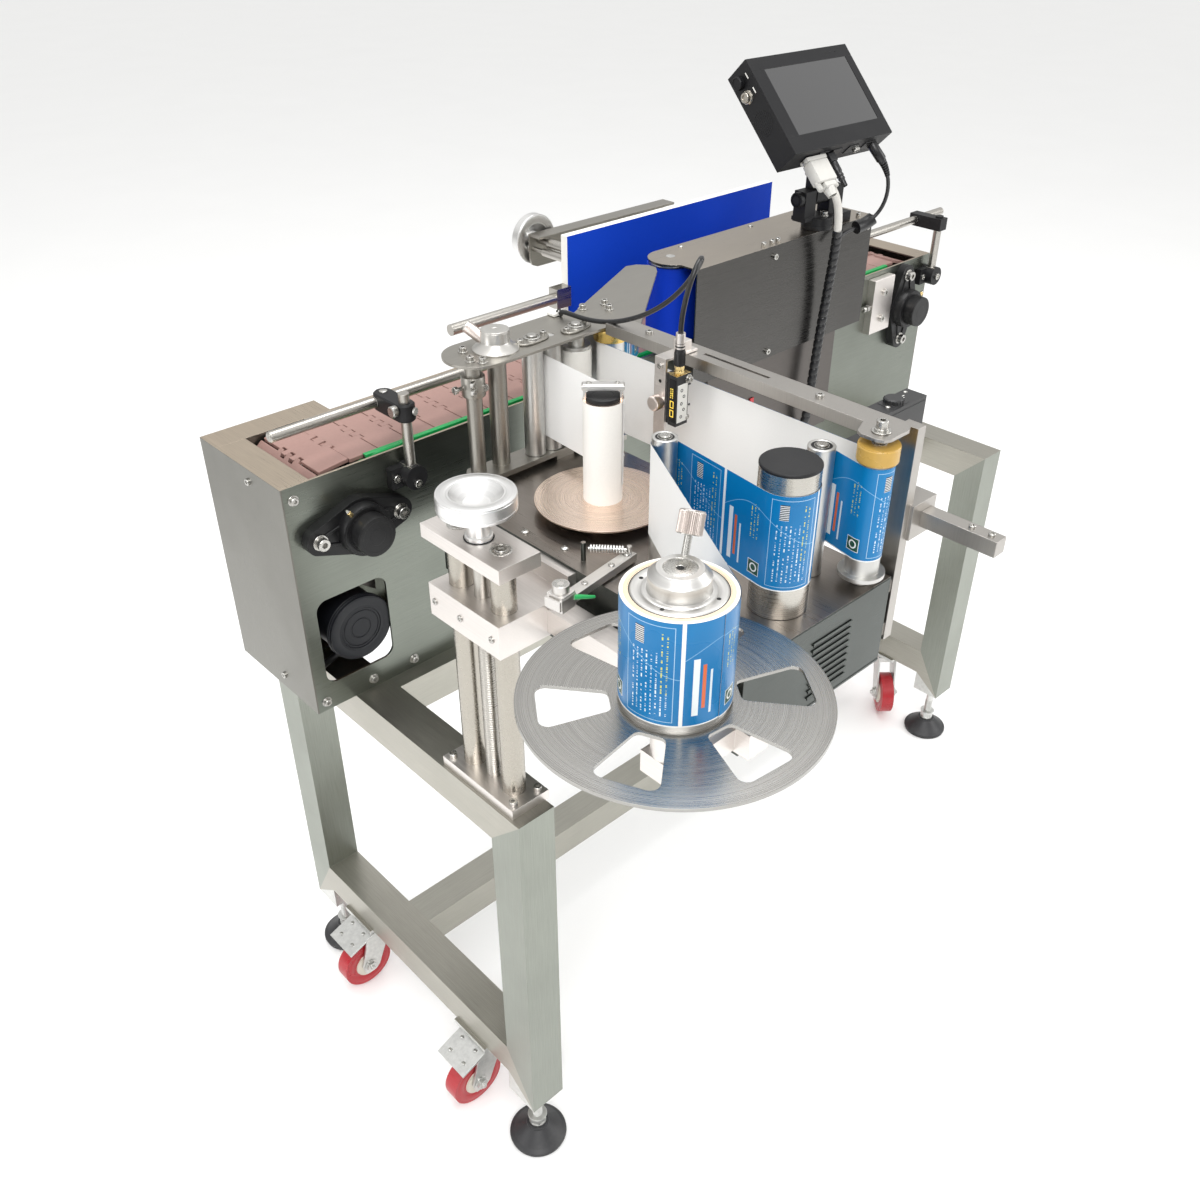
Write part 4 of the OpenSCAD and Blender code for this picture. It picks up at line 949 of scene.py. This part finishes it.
a.lathe([(4.6, 0), (5.3, 0.6), (5.3, 15), (4.9, 16), (4.9, 17.4), (4.5, 17.8), (4.5, 19), (4.9, 19.4),
    (4.7, 20.8), (4.3, 21.2), (4.3, 22.4), (4.8, 22.8),
         (4.5, 24.2), (4.1, 24.6), (4.1, 25.8), (4.5, 26.2), (4.2, 27.6), (3.6, 28), (2.8, 33)], 28, False)
for k in range(10):
    t = math.radians(36 * k)
    a.at(T(239.5, 22.8, 1005) @ R(36 * k, "Z")).box(4.9, 5.7, -0.5, 0.5, 0, 13, 0.2)
a.at().make("sensor_trim", "label_sensor", "sensor_plastic", 35)

# bolt, washer and spacer on the bridge tab; bearing ring inside the amber ring
a = Acc().use("screw").at(T(256.5, -201.5, 1006))
a.cyl(9, 0, 1.5, 32, 0.4)
a.at(T(256.5, -201.5, 1007.5)).lathe([(6.4, 0), (6.4, 1.6), (5.2, 2)], 32, False)
a.at(T(256.5, -201.5, 1009.3)).cap(5.4, 7.4)
for y in (-120, 100):
    a.at(T(275.5, y, 1006)).cap(4.2, 3.4)
a.use("alu_z").at().prism([(300.6, -218), (301, -218), (301, -200), (300.6, -200)], 1002.4, 1003, 0.1)
a.at().make("bridge_trim", "head", "fastener_steel", 35)

a = Acc().use("amber").at(T(256.5, -201.5, 978.8))
a.lathe([(15, 0), (18.1, 0.2), (19, 1.4), (19, 14.6), (18, 16), (12.4, 16.2), (12, 15.4)], 64, False)
a.use("iron").lathe([(12.2, 15.6), (11.2, 15), (9.6, 15), (9.2, 15.7), (7.8, 15.7), (7.4, 15), (5.2, 15)],
    48, False)
a.use("screw").at(T(256.5, -201.5, 994)).lathe([(7, 0), (7, 2), (6, 2.6), (5.6, 2.6), (5.6, 8.6), (5.2, 9)],
    32, False)
a.at().make("amber_trim", "print_roller", "roller_metal", 35)

for nm, cx, cy, z, r, body in (("a", 146.6, -48.7, 983, 12, "guide_roller_a"),
        ("b", 235.8, -156.4, 983, 12.8, "guide_roller_b")):
    a = Acc().use("roller").at(T(cx, cy, z))
    a.lathe([(r + 0.05, -2), (r + 0.05, 0.2), (r - 0.8, 0.9), (r - 2.6, 0.9), (r - 3.2, 0.3)], 48, False)
    a.use("iron").lathe([(r - 3.1, 0.35), (r - 5, 0.15), (5.2, 0.15)], 40, False)
    a.use("screw").lathe([(5.4, 0.1), (5.4, 2), (4.8, 2.6), (0.2, 2.6)], 28, False)
    a.lathe([(6.9, 0.1), (6.9, 0.9), (6.1, 0.9), (6.1, 0.1)], 28, False)
    a.at().make("roller_end_" + nm, body, "roller_metal", 35)

a = Acc().use("black").at(T(170.4, -173.1, 996))
a.lathe([(27.05, -2.4), (27.35, -2), (27.35, -0.2), (26.4, 0.7), (0.2, 0.9)], 80, False)
a.at().make("cylinder_cap", "tension_cylinder", "cylinder_metal", 40)

# reel: knurled clamp knob, centre screw, roll's paper end
a = Acc().use("thumb").at(T(REEL[0] + 13, REEL[1] + 9, 992) @ T(0, 0, 0))
KN = T(REEL[0] + 13, REEL[1] + 9, 977 + 12) @ (R(0, "Z") @ R(26, "Y") @ R(-12, "X"))
a.at(KN).knurl(10.1, 22.2, 39.6, 44, 0.5)
a.lathe([(9.6, 39.4), (8.6, 40.3), (0.2, 40.3)], 44, False)
a.use("screw").at(T(*REEL, 995)).lathe([(13, 0.2), (12.2, 0.5), (3.4, 0.5), (3, 0.1)], 48, False)
a.use("iron").lathe([(3, 0.3), (2.2, 0.32), (0.2, 0.32)], 24, False)
a.use("hub").at(T(*REEL, 977)).lathe([(37.02, -0.4), (36.2, 0.5), (34.5, 0.7), (29, 0.7), (28.4, 0.3),
    (27.6, 0.7), (24.4, 0.9), (24.05, 2)], 96, False)
a.use("iron").lathe([(38.6, -0.2), (37.2, 0.1), (36.9, 0.1)], 72, False)
for t in (20, 110, 200, 290):
    a.at(T(REEL[0] + 31 * math.cos(math.radians(t)), REEL[1] + 31 * math.sin(math.radians(t)),
        977.6)).cyl(1.7, 0, 0.25, 18, 0.08)
a.use("card").at(T(*REEL, 976.6)).lathe([(38.2, 0), (38.4, 0.8), (41.4, 0.8), (41.6, 0.5)], 96, False)
a.use("core").lathe([(41.6, 0.5), (41.8, 0.75), (44.1, 0.75), (44.5, 0.2)], 96, False)
a.at().make("reel_trim", "supply", "reel_steel", 35)

# applicator: screws, oval flanged bearings, cone cap, post collar, tie base
a = Acc().use("screw")
for x, y in ((122, 216), (112, 191), (119, 180), (297, 226), (326, 221), (318, 205)):
    a.at(T(x, y, 994)).cyl(5.4, 0, 0.9, 24, 0.2)
    a.at(T(x, y, 994.9)).cap(3.9, 4.6)
for cx, cy, d in ((194, 192, 4), (251, 186.5, 12)):
    pl = []
    for k in range(36):
        t = math.radians(10 * k)
        r = 11 + 10.5 * abs(math.cos(t)) ** 3
        pl.append((r * math.cos(t), r * math.sin(t)))
    a.at(T(cx, cy, 994) @ R(d, "Z")).use("plate").prism(pl, 0, 2.4, 0.6)
    a.use("screw").lathe([(9.4, 2.2), (9, 4.4), (7.6, 4.8), (7.2, 3.6), (5.6, 3.6), (5.4, 6), (4.6, 6.8),
        (0.2, 6.8)], 40, False)
    for s in (-16.6, 16.6):
        a.at(T(cx, cy, 996.4) @ R(d, "Z") @ T(s, 0, 0)).cap(3.5, 3.6)
a.use("cone").at(T(152, 200, 994))
a.lathe([(24.4, 0), (24.6, 1), (23.4, 2.2), (15.6, 8), (15.2, 9), (15.2, 19.6), (13.8, 21.2), (4, 21.3),
    (3.2, 20.6)], 72, False)
a.use("iron").at(T(152, 200, 1014.6)).lathe([(3.3, 0.1), (0.2, 0.15)], 24, False)
LV = T(148, 205, 999) @ (R(-36, "Y") @ R(-52, "X"))
a.use("thumb").at(LV).lathe([(6.45, 6), (6.45, 28.4), (5.6, 30.2), (0.2, 30.2)], 40, False)
a.use("plate").at(T(120.5, 200, 952)).lathe([(8.6, 0), (12.2, 0.1), (12.5, 1), (12.5, 21), (11.8, 22),
    (8.6, 22.2)], 48, False)
a.use("screw").at(T(109, 201, 963) @ LEFT).cyl(2.2, 0, 11, 18, 0.3)
a.at(T(100, 201, 963) @ LEFT).cap(4, 4)
a.at(T(112, 190.6, 960) @ R(25, "Z") @ FRONT).cap(4.2, 3.4)
a.at(T(112, 190.6, 968.5) @ R(25, "Z") @ FRONT).cap(4.2, 3.4)
a.at(T(127, 190, 962) @ R(-20, "Z") @ FRONT).cap(4.2, 3.4)
a.use("white").at().box(255, 268.5, 226.5, 238.5, 994, 998.4, 1)
a.use("cable").at(T(262, 225.5, 998) @ R(90, "Y")).lathe([(3.6, -1.4), (4.4, -1.4), (4.4, 1.4), (3.6, 1.4),
    (3.6, -1.4)], 24, False)
a.use("plate").at(T(452, 280, 994)).lathe([(0.2, 0.06), (0.1, 0.06)], 6, False)
a.at().make("applicator_trim", "head", "plate_steel", 35)

# gold ring of the nip roller and the spool's clip ends
a = Acc().use("gold").at(T(288.1, 171, 977.8))
a.lathe([(15.2, 0.1), (18.4, 0.2), (19.3, 1.2), (19.3, 11.6), (18.3, 12.7), (9, 12.75), (8, 12.2)], 72, False)
a.at().make("nip_ring", "nip_roller", "nip_metal", 35)

a = Acc().use("black").at(T(*SPOOL, 975))
a.lathe([(17.3, -0.4), (17.6, 0.4), (17.3, 4.2), (16.2, 4.6), (11, 4.6), (10.4, 4.1), (5, 4.1), (0.2, 4.1)],
    56, False)
CL = T(*SPOOL, 0) @ R(-43, "Z")
a.use("hub").at(CL).box(-21, 21, -5, 5, 984.7, 991.3, 1.6)
for s in (-14, 14):
    a.use("screw").at(CL @ T(s, 0, 991.2)).cap(2.8, 1.4)
a.at().make("spool_trim", "rewind_spool", "reel_steel", 35)

# brake lever: felts, screws, slotted end
a = Acc()
BR = T(95, -34, 0) @ R(8.6, "Z")
a.use("alu_x").at(BR).box(-84, -64, -9.4, -6, 858, 869, 0.8)
a.box(-84, -64, 6, 9.4, 858, 869, 0.8)
a.box(-86.5, -83, -9, 9, 857, 868, 0.8)
a.use("green").tube([(-66, -8.5, 864), (-60, -13, 863), (-54, -16, 861), (-48, -18, 859)],
    lambda t: 2.6 - 1.2 * t, 14)
a.use("alu_x").box(-82, -66, -9.6, 9.6, 869.5, 871.2, 0.5)
a.use("screw").at(BR @ T(-74, 0, 871)).cap(7.2, 8.4)
for u in (-40, 0, 24):
    a.at(BR @ T(u, 0, 862)).cap(3.2, 1.6)
a.at().make("brake_trim", "tension_arm", "bracket_aluminium", 35)

# printhead: top knob, side plates, thumb screw, small screws
a = Acc().use("head")
a.at(T(354, -149, 985.8)).lathe([(9.4, 0), (9.4, 4.6), (8.4, 5.6), (0.2, 5.8)], 40, False)
for k in range(18):
    a.at(T(354, -149, 986) @ R(20 * k, "Z")).box(9, 9.9, -0.7, 0.7, 0, 4.6, 0.2)
a.use("screw").at(T(341, -152, 985.9)).lathe([(2.6, 0), (2.4, 1), (1.4, 1.5)], 20)
a.at(T(383, -142.5, 985.9)).lathe([(2.2, 0), (2, 0.8), (1.2, 1.2)], 20)
a.use("white").at().box(366, 376, -146.6, -145.8, 985.9, 986.2, 0.08)
a.box(366, 372, -149.6, -148.8, 985.9, 986.2, 0.08)
a.use("head").box(330, 390, -161.6, -160.8, 944, 982, 0.5)
a.box(340.5, 367, -158.6, -140.4, 985.8, 986.5, 0.3)
a.use("thumb").at(T(334, -206, 906) @ RIGHT).knurl(8, 2, 13, 40, 0.5)
a.use("screw").at(T(328, -206, 906) @ RIGHT).cyl(3, 0, 3, 20, 0.3)
for y in (-290, -270):
    a.at(T(320, y, 914)).cap(3.4, 2.6)
a.at().make("printhead_trim", "printhead", "printhead_metal", 35)

# Controller
YA = T(736, 242.6, 0) @ R(-2.3, "Z") @ T(-736, -242.6, 0)
SC = YA @ T(719, 243, 1160) @ R(-44.3, "X")
a = Acc().use("screen").at(SC)
for p in ((-93.9, 93.9, -0.8, 0.2, 49, 65.9), (-93.9, 93.9, -0.8, 0.2, -65.9, -43),
        (-93.9, -72, -0.8, 0.2, -43, 49), (82, 93.9, -0.8, 0.2, -43, 49)):
    a.box(*p, 0.35)
a.use("glass").box(-72, 82, -0.25, 0.3, -43, 49, 0.1)
a.use("screen")
for x, top in ((-94.1, 38), (93.7, 63)):
    a.box(x, x + 0.5, 2, 35, -63, top, 0.2)
a.at(SC @ T(-94.2, 21, -8.6) @ LEFT)
for r in (3, 6, 9, 12, 15):
    n = max(6, int(r * 2))
    for k in range(n):
        t = 2 * math.pi * k / n
        a.use("iron").at(SC @ T(-94.3, 21 + r * math.sin(t), -8.6 + r * math.cos(t)) @ LEFT)
        a.cyl(0.8, 0, 0.25, 8, 0.05)
a.use("chrome").at(SC @ T(-94, 23, 30.4) @ LEFT)
a.lathe([(8.6, 0), (8.6, 1.2), (7.6, 2), (6.6, 2), (6.4, 5.4), (5.6, 6.2), (3.6, 6.2), (3.4, 4.6),
    (0.2, 4.6)], 40, False)
a.use("white").at(SC).box(-94.5, -94.1, 8, 9.4, 46, 54, 0.1)
a.box(-94.5, -94.1, 8, 9.4, 26, 34, 0.1)
for k in range(3):
    a.use("iron").at(SC @ T(50 + 9 * k, -0.8, 58) @ FRONT).cyl(1.1, 0, 0.3, 12, 0.05)
for x in (-30, -4, 28, 60):
    a.use("iron").at(SC).box(x - 9, x + 9, 10, 26, -67.2, -65.9, 0.5)
a.use("screw").at(SC @ T(38, 18, -66) @ R(180, "X")).lathe([(5, 0), (5, 4), (4, 5), (2, 5)], 24, False)
a.at().make("screen_trim", "screen", "screen_case", 35)

a = Acc().use("screen").at(SC @ T(-94.2, 23, 50) @ LEFT)
a.lathe([(7.98, 2.9), (7.98, 6.4), (7.2, 7.2), (6.2, 7.2), (6, 6.4), (0.2, 6.4)], 40, False)
a.at().make("button_cap", "power_button", "button_chrome", 35)

a = Acc().use("black").at(YA @ T(736, 242.6, 996.4))
a.lathe([(20.6, 0.2), (20.9, 1), (20.9, 5), (20.2, 5.6), (20.2, 7), (20.9, 7.6), (20.9, 14.4), (19.8, 15.8),
    (0.2, 15.9)], 64, False)
a.use("screw").at(YA @ T(741, 236, 1012)).cyl(6.4, 0, 1, 28, 0.2)
a.at(YA @ T(741, 236, 1013)).cap(5, 4.6)
a.use("black").at(YA @ T(702, 247, 1037) @ LEFT)
a.lathe([(4.6, -1), (9.2, -1), (9.8, 1), (9.8, 7), (9, 8), (5.4, 8), (4.4, 7), (4.4, 0)], 48, False)
a.at().make("mount_trim", "screen_mount", "bracket_plastic", 35)


# Web with its labels
WP = [(-18.5, -224.5, 45.0, 1), (146.6, -48.7, 12.5, -1), (170.4, -173.1, 27.5, 1), (235.8, -156.4, 13.3, -1),
      (256.5, -201.5, 16.5, 1), (288.1, 171, 15.5, -1), (446, 288, 1.8, 1), (218.5, 192, 12.5, 1),
      (176, 64, 20.7, -1)]


def dirn(i):
    p, q = WP[i], WP[i + 1]
    d = Vector((q[0] - p[0], q[1] - p[1]))
    return (math.degrees(math.atan2(d.y, d.x))
        - math.degrees(math.asin((q[3] * q[2] - p[3] * p[2]) / d.length)))


def web_line(off):
    out, last = [], len(WP) - 1
    for i, (x, y, r, s) in enumerate(WP):
        ai = dirn(0) - 60 if i == 0 else dirn(i - 1)
        ao = dirn(last - 1) - 60 if i == last else dirn(i)
        tn = (ao - ai) % 360 if s > 0 else -((ai - ao) % 360)
        n = 28 if r > 10 else 10
        for k in range(n + 1):
            t = math.radians(ai + tn * k / n)
            q = s * r + off
            out.append((x + q * math.sin(t), y - q * math.cos(t)))
        if i < last:
            out.append(None)
    return out


def strip(a, line, z0, z1, s0, s1, flip):
    """Vertical ribbon between path lengths s0 and s1, with UVs in millimetres."""
    pts = [p for p in line if p]
    S = [0]
    for i in range(1, len(pts)):
        S.append(S[-1] + math.dist(pts[i], pts[i - 1]))
    vs, us = [], []
    for i, p in enumerate(pts):
        if s0 <= S[i] <= s1:
            if not vs and i and S[i] > s0:
                f = (s0 - S[i - 1]) / (S[i] - S[i - 1])
                vs.append((pts[i - 1][0] + (p[0] - pts[i - 1][0]) * f,
                    pts[i - 1][1] + (p[1] - pts[i - 1][1]) * f))
                us.append(s0)
            vs.append(p)
            us.append(S[i])
    m = len(vs)
    V = [(p[0], p[1], z) for z in (z0, z1) for p in vs]
    F, U = [], []
    for i in range(m - 1):
        f = [i, i + 1, m + i + 1, m + i]
        u = [(us[i], z0), (us[i + 1], z0), (us[i + 1], z1), (us[i], z1)]
        F.append(f[::-1] if flip else f)
        U.append(u[::-1] if flip else u)
    a.add(V, F, U)


def label_material(name, blue, deep):
    """Printed film: a framed blue field, rows of dashes, one warm band, a ringed square, bars."""
    g = G(name)
    t = g.n.new("ShaderNodeUVMap")
    uv = g.xyz(t.outputs[0])
    u = g.math("MODULO", g.math("ADD", uv[0], 30.0), 104.0)
    v = g.math("SUBTRACT", uv[1], float(WEB_LOW))

    def rng(x, lo, hi):
        return g.math("MULTIPLY", g.math("GREATER_THAN", x, lo), g.math("LESS_THAN", x, hi))

    def box(u0, u1, v0, v1):
        return g.math("MULTIPLY", rng(u, u0, u1), rng(v, v0, v1))

    def frame(u0, u1, v0, v1, w):
        return g.math("SUBTRACT", box(u0, u1, v0, v1), box(u0 + w, u1 - w, v0 + w, v1 - w))

    wide = g.noise(g.coords(), 9, 3)
    c = g.mix(wide, deep, blue)
    sweep = g.math("ABSOLUTE", g.math("SUBTRACT", v,
        g.math("ADD", 60.0, g.math("MULTIPLY", g.math("SINE", g.math("MULTIPLY", u, 0.045)), 16.0))))
    c = g.mix(g.math("MULTIPLY", g.math("LESS_THAN", sweep, 0.35), 0.5), c, (0.35, 0.62, 0.80))
    pale, yel = (0.55, 0.74, 0.84), (0.62, 0.60, 0.10)
    c = g.mix(g.math("MULTIPLY", frame(58, 98, 4, 90, 0.5), 0.7), c, pale)
    du = g.math("MODULO", u, 4.0)
    brk = g.n.new("ShaderNodeTexNoise")
    kv = g.n.new("ShaderNodeCombineXYZ")
    g.put(kv.inputs[0], g.math("FLOOR", g.math("DIVIDE", u, 4.0)))
    g.put(kv.inputs[1], g.math("MULTIPLY", v, 0.55))
    g.put(brk.inputs["Vector"], kv.outputs[0])
    brk.inputs["Scale"].default_value = 1.3
    dash = g.math("MULTIPLY", g.math("LESS_THAN", du, 1.15), g.math("GREATER_THAN", brk.outputs[0], 0.53))
    c = g.mix(g.math("MULTIPLY", dash, box(62, 94, 9, 66)), c, (0.66, 0.76, 0.80))
    c = g.mix(g.math("MULTIPLY", dash, box(86, 94, 30, 84)), c, yel)
    c = g.mix(g.math("MULTIPLY", dash, box(34, 46, 44, 78)), c, yel)
    c = g.mix(g.math("MULTIPLY", g.math("LESS_THAN", g.math("MODULO", v, 1.7), 1.0), box(66, 74, 71, 86)),
        c, (0.03, 0.04, 0.05))
    c = g.mix(g.math("MULTIPLY", g.math("SUBTRACT", 1.0,
        g.math("LESS_THAN", g.math("MODULO", v, 1.7), 1.0)), box(66, 74, 71, 86)), c, (0.78, 0.80, 0.80))
    c = g.mix(box(8, 13, 10, 62), c, (0.72, 0.76, 0.78))
    c = g.mix(box(15.5, 18.5, 16, 56), c, (0.62, 0.13, 0.04))
    c = g.mix(box(22, 24, 10, 50), c, (0.62, 0.70, 0.74))
    c = g.mix(box(36, 50, 8, 22), c, (0.80, 0.82, 0.82))
    c = g.mix(box(36.6, 49.4, 8.6, 21.4), c, (0.015, 0.07, 0.045))
    r = g.math("SQRT", g.math("ADD", g.math("POWER", g.math("SUBTRACT", u, 43.0), 2.0),
        g.math("POWER", g.math("SUBTRACT", v, 15.0), 2.0)))
    c = g.mix(rng(r, 3.0, 4.4), c, (0.80, 0.82, 0.80))
    edge_w = g.math("SUBTRACT", 1.0, box(1.5, 102.5, 1.2, 95.0))
    c = g.mix(edge_w, c, (0.80, 0.81, 0.80))
    g.set(Base_Color=c, Roughness=g.ramp(wide, 0.3, 0.7, 0.24, 0.34), Specular_IOR_Level=0.35,
        Coat_Weight=0.1, Coat_Roughness=0.2)
    g.bump(wide, 0.05, 0.0002, 0)
    return g.m


MT["label"] = label_material("label_print", (0.002, 0.215, 0.50), (0.001, 0.115, 0.31))
ln = [p for p in web_line(0) if p]
cut = [0]
for i in range(1, len(ln)):
    cut.append(cut[-1] + math.dist(ln[i], ln[i - 1]))
tip_s = cut[29 * 6 + 5]
a = Acc().use("liner")
strip(a, web_line(-0.2), WEB_LOW, WEB_HIGH, 0, cut[-1] + 5, True)
strip(a, web_line(0.2), WEB_LOW, WEB_HIGH, tip_s, cut[-1] + 5, False)
a.use("label")
strip(a, web_line(0.2), WEB_LOW, WEB_HIGH, 0, tip_s, False)
a.make("web_ribbon", "head", "web_paper", 60, "label_web")

# the roll's own outer turn
a = Acc().use("label")
n = 120
rr = ROLL_R + 0.02
V = [(REEL[0] + rr * math.cos(2 * math.pi * k / n), REEL[1] + rr * math.sin(2 * math.pi * k / n), z)
    for z in (WEB_LOW + 0.1, WEB_HIGH - 0.1) for k in range(n + 1)]
F, U = [], []
for k in range(n):
    F.append([k, k + 1, n + 2 + k, n + 1 + k])
    s = [ROLL_R * 2 * math.pi * q / n for q in (k, k + 1)]
    U.append([(s[0], WEB_LOW), (s[1], WEB_LOW), (s[1], WEB_HIGH), (s[0], WEB_HIGH)])
a.add(V, F, U)
a.make("roll_print", "supply", "label_print", 60)

# Floor and light
floor_m = G("floor")
fn = floor_m.noise(floor_m.coords(), 3, 3)
floor_m.set(Base_Color=floor_m.mix(fn, (0.93, 0.93, 0.925), (0.96, 0.96, 0.955)), Roughness=0.6)
me = bpy.data.meshes.new("floor")
me.from_pydata([(-20, -20, -0.0005), (20, -20, -0.0005), (20, 20, -0.0005), (-20, 20, -0.0005)], [],
    [(0, 1, 2, 3)])
me.materials.append(floor_m.m)
floor = bpy.data.objects.new("floor", me)
bpy.context.scene.collection.objects.link(floor)

bpy.context.scene.view_settings.view_transform = "Standard"
world = bpy.data.worlds.new("studio")
bpy.context.scene.world = world
world.use_nodes = True
wt = world.node_tree
wt.nodes.clear()
wo = wt.nodes.new("ShaderNodeOutputWorld")
bg = wt.nodes.new("ShaderNodeBackground")
tc = wt.nodes.new("ShaderNodeTexCoord")
sp = wt.nodes.new("ShaderNodeSeparateXYZ")
cr = wt.nodes.new("ShaderNodeValToRGB")
wt.links.new(tc.outputs["Generated"], sp.inputs[0])
mr = wt.nodes.new("ShaderNodeMapRange")
mr.inputs[1].default_value = -1
mr.inputs[2].default_value = 1
wt.links.new(sp.outputs[2], mr.inputs[0])
wt.links.new(mr.outputs[0], cr.inputs[0])
cr.color_ramp.elements[0].position = 0.45
cr.color_ramp.elements[0].color = (0.75, 0.75, 0.74, 1)
cr.color_ramp.elements[1].position = 1.0
cr.color_ramp.elements[1].color = (1, 1, 1, 1)
e = cr.color_ramp.elements.new(0.56)
e.color = (0.40, 0.40, 0.39, 1)
e = cr.color_ramp.elements.new(0.72)
e.color = (0.92, 0.92, 0.91, 1)
wt.links.new(cr.outputs[0], bg.inputs[0])
bg.inputs[1].default_value = 1.0
wt.links.new(bg.outputs[0], wo.inputs[0])


def area(name, loc, target, size, power, size_y=None):
    d = bpy.data.lights.new(name, "AREA")
    d.energy = power
    d.size = size
    if size_y:
        d.shape = "RECTANGLE"
        d.size_y = size_y
    o = bpy.data.objects.new(name, d)
    bpy.context.scene.collection.objects.link(o)
    o.location = loc
    o.rotation_euler = (Vector(target) - Vector(loc)).to_track_quat("-Z", "Y").to_euler()


area("key", (-1.2, -1.6, 3.2), (0.4, 0.1, 0.6), 1.6, 60)
area("fill", (2.4, -1.6, 1.8), (0.4, 0.1, 0.7), 1.5, 26)
area("top", (0.5, 0.4, 3.4), (0.5, 0.2, 0.8), 2.2, 50, 1.2)
area("left", (-2.4, 0.8, 1.3), (0.0, 0.2, 0.6), 1.0, 16, 2.0)
